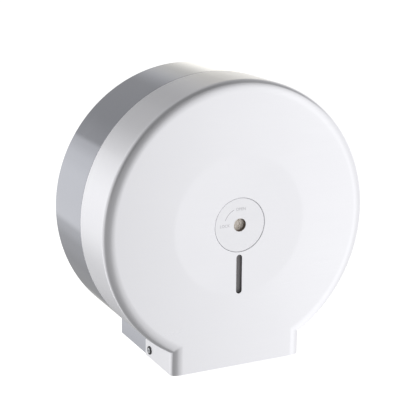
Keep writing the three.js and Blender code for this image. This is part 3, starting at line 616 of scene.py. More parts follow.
def front_edge(wall, sheet):
    """The softened front edge: a shallow arc, then a small round at the crease."""
    bend = (EDGE_RUN**2 + EDGE_FALL**2) / (2 * EDGE_FALL)
    end = math.asin((EDGE_RUN - CREASE_ROUND - sheet) / (bend - sheet))
    return [
        (wall - EDGE_RUN, FRONT_Y + sheet),
        Arc(wall - EDGE_RUN, FRONT_Y + bend, end),
        (wall - sheet, FRONT_Y + EDGE_FALL + sheet, CREASE_ROUND),
    ]


def cover_drum(sheet, rear_y, seat_round):
    """The round half of the cover as a filled solid, out to its outer or inner surface."""
    hollow = DISH_RADIUS**2 / (2 * DISH_DEPTH)
    seat = SEAT_RADIUS + sheet
    dish_start = seat + 2 * seat_round
    sweep = math.asin(dish_start / hollow) - math.asin(DISH_RADIUS / hollow)
    steps = [
        (0, SEAT_Y + sheet),
        (seat, SEAT_Y + sheet, seat_round),
        (seat, dish_y(SEAT_RADIUS) + sheet, seat_round),
        (dish_start, dish_y(dish_start) + sheet),
        Arc(0, FRONT_Y + sheet + DISH_DEPTH - hollow, sweep),
        *front_edge(DRUM_RADIUS, sheet),
        (DRUM_RADIUS - sheet, rear_y),
        (0, rear_y),
    ]
    return spun(steps, DRUM_STEPS, close=False)


def cover_outlet(sheet, rear_y, bottom_z):
    """The outlet half of the cover as a filled solid with the same front edge."""
    bm = bmesh.new()
    side = OUTLET_HALF_WIDTH - sheet
    edge = front_edge(OUTLET_HALF_WIDTH, sheet)
    draw(bm, [(0, FRONT_Y + sheet), *edge, (side, rear_y), (0, rear_y)], close=False)
    bmesh.ops.mirror(
        bm, geom=bm.verts[:] + bm.edges[:], matrix=Matrix.Identity(4), merge_dist=MERGE_DISTANCE,
        axis="X",
    )
    return moved(thicken(bm, OUTLET_TOP_Z - bottom_z), z=bottom_z)


def cover_ear():
    """The end of the cover's outlet wall, rounded about the hinge."""
    junction_z = -math.sqrt(DRUM_RADIUS**2 - OUTLET_HALF_WIDTH**2)
    radius = EAR_ROUND_SHARE * (junction_z - HINGE.z)
    reach = EAR_REACH_SHARE * radius
    front_y = SKIRT_REAR_Y - OVERRUN
    start = math.acos(reach / radius)
    end = math.acos((front_y - HINGE.y) / radius)
    steps = [
        (front_y, OUTLET_BOTTOM_Z),
        (HINGE.y + reach, OUTLET_BOTTOM_Z, 1.2 * MM),
        (HINGE.y + reach, HINGE.z + radius * math.sin(start)),
        Arc(HINGE.y, HINGE.z, end - start),
    ]
    return facing_side(steps, COVER_INNER_HALF_WIDTH, SHEET)


def across_hinge(radius):
    """A rod along the hinge axis, as a tool for bores."""
    length = OUTLET_HALF_WIDTH + OVERRUN
    rod = turned(disc(radius, -length, length, SMALL_STEPS), math.pi / 2, "Z")
    return moved(rod, y=HINGE.y, z=HINGE.z)


def upright_slot(half_width, top_z, length, rear_y, depth):
    """A slot with round ends, as a tool for cuts."""
    upper_z = top_z - half_width
    lower_z = top_z - length + half_width
    steps = [
        (half_width, upper_z), Arc(0, upper_z, math.pi), (-half_width, lower_z),
        Arc(0, lower_z, math.pi),
    ]
    return facing_front(steps, rear_y, depth)


def lock_screw_rods(radius, front_y, rear_y):
    return [
        moved(disc(radius, front_y, rear_y, SMALL_STEPS), x=side * LOCK_SCREW_PLACE)
        for side in (-1, 1)
    ]


class DISPENSER_OT_cover(bpy.types.Operator):
    """Front cover: a pressed drum half with its square outlet, seat and sight slot"""

    bl_idname = "dispenser.cover"
    bl_label = "Front cover"

    def execute(self, context):
        sizes = context.scene.dispenser_sizes
        cover = body_of(cover_drum(0, SKIRT_REAR_Y, sizes.seat_round))
        ear = cover_ear()
        joined(cover, cover_outlet(0, SKIRT_REAR_Y, OUTLET_BOTTOM_Z), mirrored(ear), ear)
        through_y = SEAT_REAR_Y + OVERRUN
        depth = through_y - FRONT_Y + OVERRUN
        cut(
            cover,
            cover_drum(SHEET, 0, sizes.seat_round),
            cover_outlet(SHEET, 0, OUTLET_BOTTOM_Z - OVERRUN),
            disc(HOUSING_RADIUS + NEST_GAP, FRONT_Y, through_y),
            *lock_screw_rods(LOCK_BOSS_RADIUS + NEST_GAP, FRONT_Y, through_y),
            upright_slot(SIGHT_HALF_WIDTH, SIGHT_TOP_Z, SIGHT_LENGTH, through_y, depth),
            across_hinge(BUSH_RADIUS + NEST_GAP),
        )
        shade(cover, sizes.edge_round)
        round_skirt(cover, DRUM_RADIUS)
        place(cover, "front_cover_sheet", "satin_steel", "cover", "front_cover")
        return {"FINISHED"}


# Case, back plate and tear bar


class DISPENSER_OT_case(bpy.types.Operator):
    """Case: the polished drum behind the cover, with its outlet walls"""

    bl_idname = "dispenser.case"
    bl_label = "Case"

    def execute(self, context):
        skin = DRUM_RADIUS - SHEET
        lip = skin - 0.4 * MM
        lip_front_y = CASE_FRONT_Y - 6 * MM
        lip_bottom_z = -0.42 * DRUM_RADIUS
        edge = context.scene.dispenser_sizes.edge_round
        steps = [
            (DRUM_RADIUS, 0, edge), (DRUM_RADIUS, CASE_FRONT_Y, 2 * edge), (lip, CASE_FRONT_Y),
            (lip, lip_front_y, edge), (lip - SHEET, lip_front_y, edge),
            (lip - SHEET, CASE_FRONT_Y + SHEET), (skin, CASE_FRONT_Y + SHEET), (skin, 0, edge),
        ]
        drum = body_of(spun(steps, DRUM_STEPS))
        far = DRUM_RADIUS + OVERRUN
        beyond_y = lip_front_y - OVERRUN
        inner = CASE_INNER_HALF_WIDTH
        cut(
            drum,
            block((-far, beyond_y, -far), (far, CASE_FRONT_Y, lip_bottom_z)),
            block((-inner, beyond_y, -far), (inner, OVERRUN, OUTLET_TOP_Z)),
        )
        middle = DRUM_RADIUS - SHEET / 2
        wall_top_z = -math.sqrt(middle**2 - (CASE_HALF_WIDTH - SHEET / 2) ** 2)
        ear_top_z = HINGE.z + HINGE_RISE
        steps = [
            (0, OUTLET_BOTTOM_Z), (0, wall_top_z), (CASE_FRONT_Y, wall_top_z),
            (CASE_FRONT_Y, ear_top_z), (HINGE.y, ear_top_z), Arc(HINGE.y, HINGE.z, math.pi),
        ]
        wall = facing_side(steps, inner, SHEET)
        joined(drum, mirrored(wall), wall)
        cut(drum, across_hinge(HINGE_BORE))
        place(shade(drum), "case_drum", "bright_steel", "case", "case_band")
        return {"FINISHED"}


def rivet(grip):
    """A rivet along Y with its domed head at the front."""
    shank, head, height, tail, tail_height = 2 * MM, 3.8 * MM, 1.7 * MM, 3.2 * MM, 1.2 * MM
    dome = (head**2 + height**2) / (2 * height)
    steps = [
        (0, -height), Arc(0, dome - height, math.asin(head / dome)), (shank, 0), (shank, grip),
        (tail, grip, 0.2 * MM), (tail, grip + tail_height, 0.4 * MM), (0, grip + tail_height),
    ]
    return spun(steps, SMALL_STEPS, close=False)


def base_rivet_places():
    """Four places round the spindle's base, as (x, z)."""
    angles = [math.pi / 4 + quarter * math.pi / 2 for quarter in range(4)]
    return [(RIVET_CIRCLE * math.cos(angle), RIVET_CIRCLE * math.sin(angle)) for angle in angles]


def base_rivet_rods():
    front_y, rear_y = -20 * MM, 5 * MM
    return [
        moved(disc(RIVET_BORE, front_y, rear_y, SMALL_STEPS), x=x, z=z)
        for x, z in base_rivet_places()
    ]


def bar_rivet_rods():
    reach = 4 * MM
    rods = []
    for x in (-BAR_RIVET_X, BAR_RIVET_X):
        rod = turned(disc(RIVET_BORE, -reach, reach, SMALL_STEPS), math.pi / 2, "X")
        rods.append(moved(rod, x=x, y=BAR_RIVET_Y, z=BAR_LOW.z))
    return rods


def wall_slot(x, z):
    """A keyhole for the head of a wall screw, with its neck above."""
    head, neck, length = 5 * MM, 2.7 * MM, 9 * MM
    open_angle = math.asin(neck / head)
    steps = [
        (x - neck, z + math.sqrt(head**2 - neck**2)),
        Arc(x, z, 2 * math.pi - 2 * open_angle, 2 * ARC_STEPS),
        (x + neck, z + length),
        Arc(x, z + length, math.pi),
    ]
    return facing_front(steps, OVERRUN, SHEET + 2 * OVERRUN)


class DISPENSER_OT_back(bpy.types.Operator):
    """Back plate: a pressed pan with a bead, four wall slots and the outlet's floor"""

    bl_idname = "dispenser.back"
    bl_label = "Back plate"

    def execute(self, context):
        rim = DRUM_RADIUS - SHEET - NEST_GAP
        rim_front_y = -10 * MM
        bead_start, bead_inner, bead_outer, bead_end = 13 * MM, 15 * MM, 39 * MM, 41 * MM
        bend, rim_bend = 0.6 * MM, 0.8 * MM
        bead_y = BASE_REAR_Y + SHEET
        edge = context.scene.dispenser_sizes.edge_round
        steps = [
            (0, 0), (bead_start, 0, bend), (bead_inner, bead_y, bend), (bead_outer, bead_y, bend),
            (bead_end, 0, bend), (rim, 0, rim_bend), (rim, rim_front_y, edge),
            (rim - SHEET, rim_front_y, edge), (rim - SHEET, -SHEET), (bead_end, -SHEET, bend),
            (bead_outer, BASE_REAR_Y, bend), (bead_inner, BASE_REAR_Y, bend),
            (bead_start, -SHEET, bend), (0, -SHEET),
        ]
        pan = body_of(spun(steps, DRUM_STEPS, close=False))
        half = BACK_HALF_WIDTH
        inner = half - SHEET
        far = DRUM_RADIUS + OVERRUN
        floor_low_z = BAR_LOW.z - SHEET
        floor_front_y = -34 * MM
        cut(pan, block((-inner, -far, -far), (inner, -SHEET, OUTLET_TOP_Z)))
        joined(
            pan,
            block((-half, -SHEET, floor_low_z), (half, 0, OUTLET_TOP_Z)),
            block((-half, floor_front_y, floor_low_z), (half, 0, BAR_LOW.z)),
        )
        across, upper_z, lower_z = 75 * MM, 72 * MM, -62 * MM
        slots = [wall_slot(x, z) for x in (-across, across) for z in (upper_z, lower_z)]
        cut(pan, *slots, *base_rivet_rods(), *bar_rivet_rods())
        place(shade(pan), "back_pan", "plain_steel", "case", "back_plate")
        return {"FINISHED"}


class DISPENSER_OT_tear_bar(bpy.types.Operator):
    """Tear bar: a toothed strip on the outlet's floor, held by two rivets"""

    bl_idname = "dispenser.tear_bar"
    bl_label = "Tear bar"

    def execute(self, context):
        half = BAR_HIGH.x
        tooth_size = 4 * MM
        root_y = BAR_LOW.y + tooth_size
        teeth = round(2 * half / tooth_size)
        pitch = 2 * half / teeth
        steps = [(half, BAR_HIGH.y, 1.5 * MM), (-half, BAR_HIGH.y, 1.5 * MM), (-half, root_y)]
        for tooth in range(teeth):
            steps.append((-half + pitch * (tooth + 0.5), BAR_LOW.y, 0.35 * MM))
            steps.append((-half + pitch * (tooth + 1), root_y))
        bar = body_of(moved(extruded(steps, BAR_THICKNESS), z=BAR_LOW.z))
        cut(bar, *bar_rivet_rods())
        shade(bar, 0.12 * MM)
        place(bar, "toothed_bar", "plain_steel", "case", "tear_bar")
        for side, x in (("left", -BAR_RIVET_X), ("right", BAR_RIVET_X)):
            shape = turned(rivet(BAR_THICKNESS + SHEET), -math.pi / 2, "X")
            piece = body_of(moved(shape, x=x, y=BAR_RIVET_Y, z=BAR_HIGH.z))
            place(
                shade(piece), f"bar_rivet_{side}", "screw_steel", "case", f"tear_bar_rivet_{side}"
            )
        return {"FINISHED"}


# Clips and screws


def grooved(radius, groove, clip):
    """The points of a turned outline where it steps down to a clip's groove and up again."""
    clip_front_y, clip_rear_y = depths(clip)
    front_y, rear_y = clip_front_y - NEST_GAP, clip_rear_y + NEST_GAP
    return [(radius, front_y), (groove, front_y), (groove, rear_y), (radius, rear_y)]


def place_spring_clip(groove, name, body, node):
    """An open spring clip in its groove, with its mouth downward."""
    inner = groove + NEST_GAP
    outer = inner + 3 * MM
    thickness, edge = 1 * MM, 0.12 * MM
    mouth = math.pi / 5
    start = -math.pi / 2 + mouth
    end = 1.5 * math.pi - mouth
    steps = [
        (outer * math.cos(start), outer * math.sin(start)),
        Arc(0, 0, end - start, 3 * ARC_STEPS),
        (inner * math.cos(end), inner * math.sin(end)),
        Arc(0, 0, start - end, 3 * ARC_STEPS),
    ]
    clip = body_of(facing_front(steps, depths(node)[1], thickness))
    place(shade(clip, edge), name, "spring_steel", body, node)


def turned_screw(steps, recess_y, reach):
    """A screw about Y with a cross recess in its head, which is toward +Y."""
    half, out_y = 0.35 * MM, steps[0][1] + OVERRUN
    return shade(cut(
        body_of(spun(steps, SMALL_STEPS, close=False)),
        block((-reach, recess_y, -half), (reach, out_y, half)),
        block((-half, recess_y, -reach), (half, out_y, reach)),
    ))


# Spindle and hub

AXLE_RADIUS = 7 * MM
AXLE_BORE = AXLE_RADIUS + NEST_GAP
AXLE_GROOVE_RADIUS = AXLE_RADIUS - 0.9 * MM
AXLE_TAIL_RADIUS = 5 * MM


class DISPENSER_OT_spindle(bpy.types.Operator):
    """Spindle: a riveted base and a turned axle whose cross head the lock catches"""

    bl_idname = "dispenser.spindle"
    bl_label = "Spindle"

    def execute(self, context):
        radius, edge = 39 * MM, 0.3 * MM
        base = body_of(
            ring(AXLE_TAIL_RADIUS + NEST_GAP, radius, BASE_FRONT_Y, BASE_REAR_Y, edge=edge)
        )
        cut(base, *base_rivet_rods())
        place(shade(base), "base_disc", "plain_steel", "case", "spindle_base")
        for number, (x, z) in enumerate(base_rivet_places(), 1):
            shape = moved(rivet(BASE_REAR_Y - BASE_FRONT_Y + SHEET), x=x, y=BASE_FRONT_Y, z=z)
            place(
                shade(body_of(shape)), f"base_rivet_{number}", "screw_steel", "case",
                f"spindle_rivet_{number}",
            )
        self.axle()
        edge = 0.2 * MM
        for name in ("rear_washer", "front_washer"):
            low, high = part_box(f"hub_{name}")
            washer = body_of(ring(AXLE_BORE, high.x, low.y, high.y, edge=edge))
            place(shade(washer), name, "dark_plastic", "case", f"hub_{name}")
        place_spring_clip(AXLE_GROOVE_RADIUS, "hub_snap_ring", "case", "hub_clip")
        return {"FINISHED"}

    def axle(self):
        """The axle from its cross head to its riveted tail, with the clip's groove near its front."""
        catch_front_y = depths("spindle_axle")[0]
        catch_rear_y = catch_front_y + 2.4 * MM
        catch_reach, catch_half, edge = 6.2 * MM, 1.2 * MM, 0.15 * MM
        front_y = ROTOR_REAR_Y + 3 * MM
        flange_y = BASE_FRONT_Y - 2.5 * MM
        head_y = BASE_REAR_Y + 2 * MM
        stem, flange, head = 1.6 * MM, 12 * MM, 7.5 * MM
        steps = [
            (0, catch_rear_y - catch_half), (stem, catch_rear_y - catch_half),
            (stem, front_y, 0.3 * MM), (AXLE_RADIUS, front_y, 0.8 * MM),
            *grooved(AXLE_RADIUS, AXLE_GROOVE_RADIUS, "hub_clip"), (AXLE_RADIUS, flange_y),
            (flange, flange_y, 0.5 * MM), (flange, BASE_FRONT_Y, 0.3 * MM),
            (AXLE_TAIL_RADIUS, BASE_FRONT_Y), (AXLE_TAIL_RADIUS, BASE_REAR_Y),
            (head, BASE_REAR_Y, 0.4 * MM), (head, head_y, 0.6 * MM), (0, head_y),
        ]
        axle = body_of(spun(steps, close=False))
        low = (-catch_reach, catch_front_y, -catch_half)
        joined(axle, block(low, (catch_reach, catch_rear_y, catch_half)))
        shade(axle, edge)
        place(axle, "axle_stud", "screw_steel", "case", "spindle_axle", slot="plain_steel")


class DISPENSER_OT_hub(bpy.types.Operator):
    """Hub: a moulded core with six fins and the flange that the roll runs against"""

    bl_idname = "dispenser.hub"
    bl_label = "Roll hub"

    def execute(self, context):
        front_y, rear_y = depths("roll_hub")
        core, reach, flange, edge = AXLE_BORE + 3.6 * MM, 21.5 * MM, 45 * MM, 0.25 * MM
        fins, half = 6, 1.3 * MM
        nose_drop, nose_length = 6 * MM, 12 * MM
        flange_front_y = rear_y - 2.5 * MM
        hub = body_of(disc(core, front_y, rear_y))
        for fin in range(fins):
            blade = block((0, front_y, -half), (reach, rear_y, half))
            joined(hub, turned(blade, fin * 2 * math.pi / fins, "Y"))
        envelope = [
            (0, front_y), (reach - nose_drop, front_y), (reach, front_y + nose_length, 2 * MM),
            (reach, rear_y), (0, rear_y),
        ]
        combined(hub, "INTERSECT", spun(envelope, close=False))
        joined(hub, disc(flange, flange_front_y, rear_y, DRUM_STEPS // 2, 0.8 * MM))
        cut(hub, disc(AXLE_BORE, front_y - OVERRUN, rear_y + OVERRUN))
        place(shade(hub, edge), "finned_hub", "grey_plastic", "hub", "roll_hub")
        return {"FINISHED"}


# Lock


def printed(word, width, centre_x, centre_z):
    """A printed word on the lock plate, a hair thick."""
    thick, sunk = 0.04 * MM, 0.01 * MM
    text = bpy.data.curves.new("word", "FONT")
    text.body = word
    text.resolution_u = 4
    text.extrude = 0.5
    letters = bpy.data.objects.new("word", text)
    bpy.context.scene.collection.objects.link(letters)
    bpy.context.view_layer.update()
    evaluated = letters.evaluated_get(bpy.context.evaluated_depsgraph_get())
    mesh = bpy.data.meshes.new_from_object(evaluated)
    bpy.data.objects.remove(letters)
    bm = bmesh.new()
    bm.from_mesh(mesh)
    xs = [vert.co.x for vert in bm.verts]
    ys = [vert.co.y for vert in bm.verts]
    scale = width / (max(xs) - min(xs))
    moved(bm, x=-(max(xs) + min(xs)) / 2, y=-(max(ys) + min(ys)) / 2)
    bmesh.ops.scale(bm, vec=(scale, scale, thick), verts=bm.verts)
    turned(bm, math.pi / 2, "X")
    return moved(tidy_up(bm), x=centre_x, y=PLATE_FRONT_Y - sunk, z=centre_z)


def swept_mark(radius, start, end):
    """A thin printed arc from one word to the other."""
    half, thick, steps = 0.3 * MM, 0.02 * MM, 24
    front_y, rear_y = PLATE_FRONT_Y - thick, PLATE_FRONT_Y + thick
    inner, outer = radius - half, radius + half
    bm = bmesh.new()
    draw(bm, ((inner, front_y), (outer, front_y), (outer, rear_y), (inner, rear_y)))
    face = bmesh.ops.contextual_create(bm, geom=bm.edges[:])["faces"]
    turned(bm, -start, "Y")
    swept(bm, face, AXIS_Y, ORIGIN, start - end, steps)
    return tidy_up(bm)


class DISPENSER_OT_lock(bpy.types.Operator):
    """Lock: a flush plate with its printed marks, and the quarter-turn core behind it"""

    bl_idname = "dispenser.lock"
    bl_label = "Lock"

    def execute(self, context):
        self.cap()
        width = context.scene.dispenser_sizes.word_width
        aside, above, off_axis, arc_radius = 15.6 * MM, 15.4 * MM, 0.6 * MM, 16.4 * MM
        arc_start, arc_end = math.radians(160), math.radians(113)
        for name, shape in (
            ("mark_lock", printed("LOCK", width, -aside, off_axis)),
            ("mark_open", printed("OPEN", width, off_axis, above)),
            ("mark_arc", swept_mark(arc_radius, arc_start, arc_end)),
        ):
            place(body_of(shape), name, "ink", "cover", slot="light_plastic")
        self.barrel()
        self.core()
        return {"FINISHED"}

    def cap(self):
        """The flush plate and its collar, with the key's bore coloured dark brown as painted shade."""
        collar_y = ROTOR_FRONT_Y - NEST_GAP
        lip, skin, margin = 0.4 * MM, 0.6 * MM, 0.05 * MM
        steps = [
            (KEYHOLE_RADIUS, PLATE_FRONT_Y, lip), (LOCK_PLATE_RADIUS, PLATE_FRONT_Y, 0.3 * MM),
            (LOCK_PLATE_RADIUS, SEAT_Y, 0.2 * MM), (ROTOR_RADIUS, SEAT_Y),
            (ROTOR_RADIUS, collar_y, 0.3 * MM), (KEYHOLE_RADIUS, collar_y),
        ]
        cap = body_of(spun(steps, 2 * ROUND_STEPS))
        joined(cap, *lock_screw_rods(LOCK_BOSS_RADIUS, SEAT_Y - skin, SEAT_REAR_Y))
        cut(cap, *lock_screw_rods(LOCK_SCREW_BORE, PLATE_FRONT_Y + skin, SEAT_REAR_Y + OVERRUN))
        place(shade(cap), "lock_cap", "light_plastic", "cover", "lock_plate")
        # The faces inside the keyhole's rim take a second, dark brown finish: painted shade of the deep
        # bore.
        cap.data.materials.append(finishes["brown_plastic"])
        for face in cap.data.polygons:
            inside = math.hypot(face.center.x, face.center.z) < KEYHOLE_RADIUS + margin
            face.material_index = int(inside and face.center.y > PLATE_FRONT_Y + lip)

    def barrel(self):
        """The housing of the core behind the cover, and its two screws."""
        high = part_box("lock_housing")[1]
        flange_y = SEAT_REAR_Y + 2 * MM
        small, large = 0.3 * MM, 0.6 * MM
        steps = [
            (HOUSING_BORE_RADIUS, SEAT_Y), (HOUSING_RADIUS, SEAT_Y, small),
            (HOUSING_RADIUS, SEAT_REAR_Y), (high.x, SEAT_REAR_Y, small), (high.x, flange_y, large),
            (HOUSING_RADIUS, flange_y, large), (HOUSING_RADIUS, high.y, large),
            (HOUSING_BORE_RADIUS, high.y, small),
        ]
        barrel = body_of(spun(steps))
        cut(barrel, *lock_screw_rods(LOCK_SCREW_BORE, SEAT_Y, flange_y + OVERRUN))
        place(shade(barrel), "lock_barrel", "grey_plastic", "cover", "lock_housing")
        crown, head, reach, depth = 1.6 * MM, 2.7 * MM, 1.5 * MM, 0.9 * MM
        for side, name in ((-1, "left"), (1, "right")):
            end_y, top_y = depths(f"lock_screw_{name}")
            head_y = top_y - 1.5 * MM
            steps = [
                (0, top_y), (crown, top_y), (head, head_y, small), (LOCK_SCREW_RADIUS, head_y),
                (LOCK_SCREW_RADIUS, end_y, 0.4 * MM), (0, end_y),
            ]
            screw = turned_screw(steps, top_y - depth, reach)
            screw.data.transform(Matrix.Translation((side * LOCK_SCREW_PLACE, 0, 0)))
            place(screw, f"barrel_screw_{name}", "screw_steel", "cover", f"lock_screw_{name}")

    def core(self):
        """The turning core, with the key's socket in front and the catch's cup behind."""
        groove, edge = ROTOR_RADIUS - 0.9 * MM, 0.2 * MM
        steps = [
            (0, ROTOR_FRONT_Y), (ROTOR_RADIUS, ROTOR_FRONT_Y, 0.5 * MM),
            *grooved(ROTOR_RADIUS, groove, "lock_clip"), (ROTOR_RADIUS, ROTOR_REAR_Y),
            (0, ROTOR_REAR_Y),
        ]
        core = body_of(spun(steps, close=False))
        before_y, behind_y = ROTOR_FRONT_Y - OVERRUN, ROTOR_REAR_Y + OVERRUN
        socket_y, cup_y = ROTOR_FRONT_Y + 0.8 * MM, ROTOR_FRONT_Y + 6 * MM
        pin, key_half, key_reach = 2.4 * MM, 1 * MM, 4.6 * MM
        cup, wall, slot_half = 7.6 * MM, 2 * MM, 3.2 * MM
        slot = body_of(block((-cup, cup_y, -slot_half), (cup, behind_y, slot_half)))
        combined(slot, "INTERSECT", disc(cup, cup_y, behind_y))
        slot_bm = bmesh.new()
        slot_bm.from_mesh(slot.data)
        bpy.data.objects.remove(slot)
        cut(
            core,
            disc(pin, before_y, socket_y, SMALL_STEPS),
            block((-key_half, before_y, -key_reach), (key_half, socket_y, key_reach)),
            disc(cup, cup_y, ROTOR_REAR_Y - wall),
            slot_bm,
        )
        place(shade(core, edge), "lock_core", "zinc", "lock", "lock_rotor")
        place_spring_clip(groove, "core_snap_ring", "lock", "lock_clip")


# Sight window and hinge


def rounded_plate(node, corner):
    """A plate that fills a CAD node's box, with rounded corners."""
    low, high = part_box(node)
    corners = ((high.x, high.z), (low.x, high.z), (low.x, low.z), (high.x, low.z))
    steps = [(*spot, corner) for spot in corners]
    return body_of(facing_front(steps, high.y, high.y - low.y))


class DISPENSER_OT_sight(bpy.types.Operator):
    """Sight window: a smoked lens behind the slot, on a frame of foam tape"""

    bl_idname = "dispenser.sight"
    bl_label = "Sight window"

    def execute(self, context):
        lens = shade(rounded_plate("sight_lens", 1.5 * MM), 0.15 * MM)
        place(lens, "smoked_lens", "smoked_acrylic", "cover", "sight_lens")
        margin = 0.4 * MM
        front_y, rear_y = depths("lens_tape")
        tape = rounded_plate("lens_tape", 0.5 * MM)
        cut(tape, upright_slot(
            SIGHT_HALF_WIDTH + margin, SIGHT_TOP_Z + margin, SIGHT_LENGTH + 2 * margin,
            rear_y + OVERRUN, rear_y - front_y + 2 * OVERRUN,
        ))
        place(shade(tape), "foam_frame", "foam", "cover", "lens_tape")
        return {"FINISHED"}


class DISPENSER_OT_hinge(bpy.types.Operator):
    """Hinge: a screw, a bush, a washer and a nut on each side of the outlet"""

    bl_idname = "dispenser.hinge"
    bl_label = "Hinge"

    def execute(self, context):
        flange_x = OUTLET_HALF_WIDTH + 0.8 * MM
        nut_x = CASE_INNER_HALF_WIDTH - 0.8 * MM
        for side, name in ((-1, "left"), (1, "right")):
            # The pieces are turned about Y and then laid along X, with the screw's head outward.
            lay = Matrix.Rotation(-side * math.pi / 2, 4, "Z")
            lay.translation = (0, HINGE.y, HINGE.z)
            for kind, piece, finish, body in (
                ("screw", self.screw(flange_x, nut_x), "screw_steel", "case"),
                ("bush", self.bush(flange_x), "dark_plastic", "cover"),
                ("washer", self.washer(nut_x), "screw_steel", "case"),
                ("nut", self.nut(nut_x), "screw_steel", "case"),
            ):
                piece.data.transform(lay)
                place(piece, f"pivot_{kind}_{name}", finish, body, f"hinge_{kind}_{name}")
        return {"FINISHED"}

    def screw(self, flange_x, nut_x):
        """A low screw whose head keeps a hair's gap from the bush, which turns with the cover."""
        crown, head, reach = 1.3 * MM, 2.6 * MM, 1.7 * MM
        under_x, end_x = flange_x + 0.05 * MM, nut_x - 4.2 * MM
        steps = [
            (0, flange_x + 0.8 * MM), (crown, flange_x + 0.75 * MM, 0.2 * MM),
            (head, flange_x + 0.2 * MM, 0.1 * MM), (head, under_x), (HINGE_SCREW_RADIUS, under_x),
            (HINGE_SCREW_RADIUS, end_x, 0.5 * MM), (0, end_x),
        ]
        return turned_screw(steps, flange_x + 0.1 * MM, reach)

    def bush(self, flange_x):
        flange = 4.2 * MM
        steps = [
            (HINGE_BORE, COVER_INNER_HALF_WIDTH), (HINGE_BORE, flange_x),
            (flange, flange_x, 0.3 * MM), (flange, OUTLET_HALF_WIDTH),
            (BUSH_RADIUS, OUTLET_HALF_WIDTH), (BUSH_RADIUS, COVER_INNER_HALF_WIDTH),
        ]
        return shade(body_of(spun(steps, SMALL_STEPS)))

    def washer(self, nut_x):
        radius, edge = 5 * MM, 0.15 * MM
        shape = ring(HINGE_BORE, radius, nut_x, CASE_INNER_HALF_WIDTH, SMALL_STEPS, edge)
        return shade(body_of(shape))

    def nut(self, nut_x):
        """A hexagon nut with its corners turned off."""
        corner, face, bevel, end_x = 4.4 * MM, 3.7 * MM, 0.4 * MM, nut_x - 3.2 * MM
        nut = body_of(disc(corner, end_x, nut_x, HEXAGON))
        envelope = [
            (0, end_x), (face, end_x), (corner, end_x + bevel), (corner, nut_x - bevel),
            (face, nut_x), (0, nut_x),
        ]
        combined(nut, "INTERSECT", spun(envelope, SMALL_STEPS, close=False))
        return shade(cut(nut, disc(HINGE_BORE, end_x - OVERRUN, nut_x + OVERRUN, SMALL_STEPS)))


# Studio

# Levels of light that metal sees, by the angle in degrees round the drum's axis from the right
SKY_RINGS = {
    # Just behind: grey above and below, bright to the right, a soft white at the left
    "behind": (
        (-180, 0.88), (-139, 0.87), (-131, 0.62), (-116, 0.48), (-94, 0.4), (-66, 0.36),
        (-50, 0.55), (-28, 1.3), (5, 1.5), (43, 0.64), (75, 0.37), (120, 0.36), (144, 0.42),
        (149, 0.66), (165, 0.82), (180, 0.88),
    ),
    "beside": (
        (-180, 1.12), (-140, 1.1), (-118, 1.02), (-95, 0.68), (-66, 0.6), (-28, 0.95), (5, 1.1),
        (26, 0.8), (58, 0.35), (90, 0.43), (120, 0.58), (150, 0.95), (180, 1.12),
    ),
    "beyond": (
        (-180, 1.12), (-85, 0.95), (-50, 0.6), (-5, 1.3), (20, 1.1), (42, 0.45), (100, 0.45),
        (130, 0.66), (160, 1.0), (180, 1.12),
    ),
}

# Each row names a level and how it is made. A step has what it follows, where it starts and
# ends, and the levels before and after it. Other rows have the terms of a sum, a product or
# a maximum.
SKY_LEVELS = (
    # At the left, what lies beside the drum is greyer towards the front.
    ("fade", "SMOOTHSTEP", "Y", 0.35, 0.62, 0.64, 1),
    ("dip", "SMOOTHSTEP", "X", -0.4, 0.1, "fade", 1),
    ("band", "MULTIPLY", "beside", "dip"),
    ("band", "SMOOTHSTEP", "Y", 0.82, 0.85, "band", "behind"),
    ("band", "SMOOTHSTEP", "Y", 0.92, 0.94, "band", "beyond"),
    # In front: a white card to the right of the camera, and dark above it and to its left.
    ("dark", "SMOOTHSTEP", "Z", -0.05, 0.35, 0.31, 0.19),
    ("dark", "SMOOTHSTEP", "X", 0.2, 0.6, "dark", 0.31),
    ("card", "SMOOTHSTEP", "X", 0.28, 0.6, 0.68, 1.13),
    ("card", "SMOOTHSTEP", "X", 0.66, 0.86, "card", 0.86),
    ("card", "SMOOTHSTEP", "Z", 0.2, 0.46, "card", "dark"),
    # The card's left edge leans one way, and the other way low down.
    ("lower", "LINEAR", "Z", -1, -0.5, -0.325, 0),
    ("slant", "MULTIPLY_ADD", "Z", -0.286, "X"),
    ("slant", "ADD", "slant", "lower"),
    ("front", "SMOOTHSTEP", "slant", 0.1, 0.19, "dark", "card"),
    # The dark front gives way sooner at the left, and later below.
    ("sooner", "LINEAR", "X", -1, 0, 0.5, 0),
    ("later", "LINEAR", "Z", -1, -0.35, -0.65, 0),
    ("rear", "ADD", "sooner", "later"),
    ("rear", "ADD", "Y", "rear"),
    ("level", "SMOOTHSTEP", "rear", -0.15, 0.45, "front", "band"),
    # Dull surfaces see an even grey, and the camera sees white, also through glass.
    ("level", "LINEAR", "Is Glossy Ray", 0, 1, 0.85, "level"),
    ("clear", "MAXIMUM", "Is Camera Ray", "Is Transmission Ray"),
    ("level", "LINEAR", "clear", 0, 1, "level", 1),
    # To metal, the far right is warmer than the rest.
    ("warmth", "SMOOTHSTEP", "Y", 0.6, 0.8, 0, "Is Glossy Ray"),
    ("warmth", "SMOOTHSTEP", "X", 0.2, 0.4, 0, "warmth"),
)


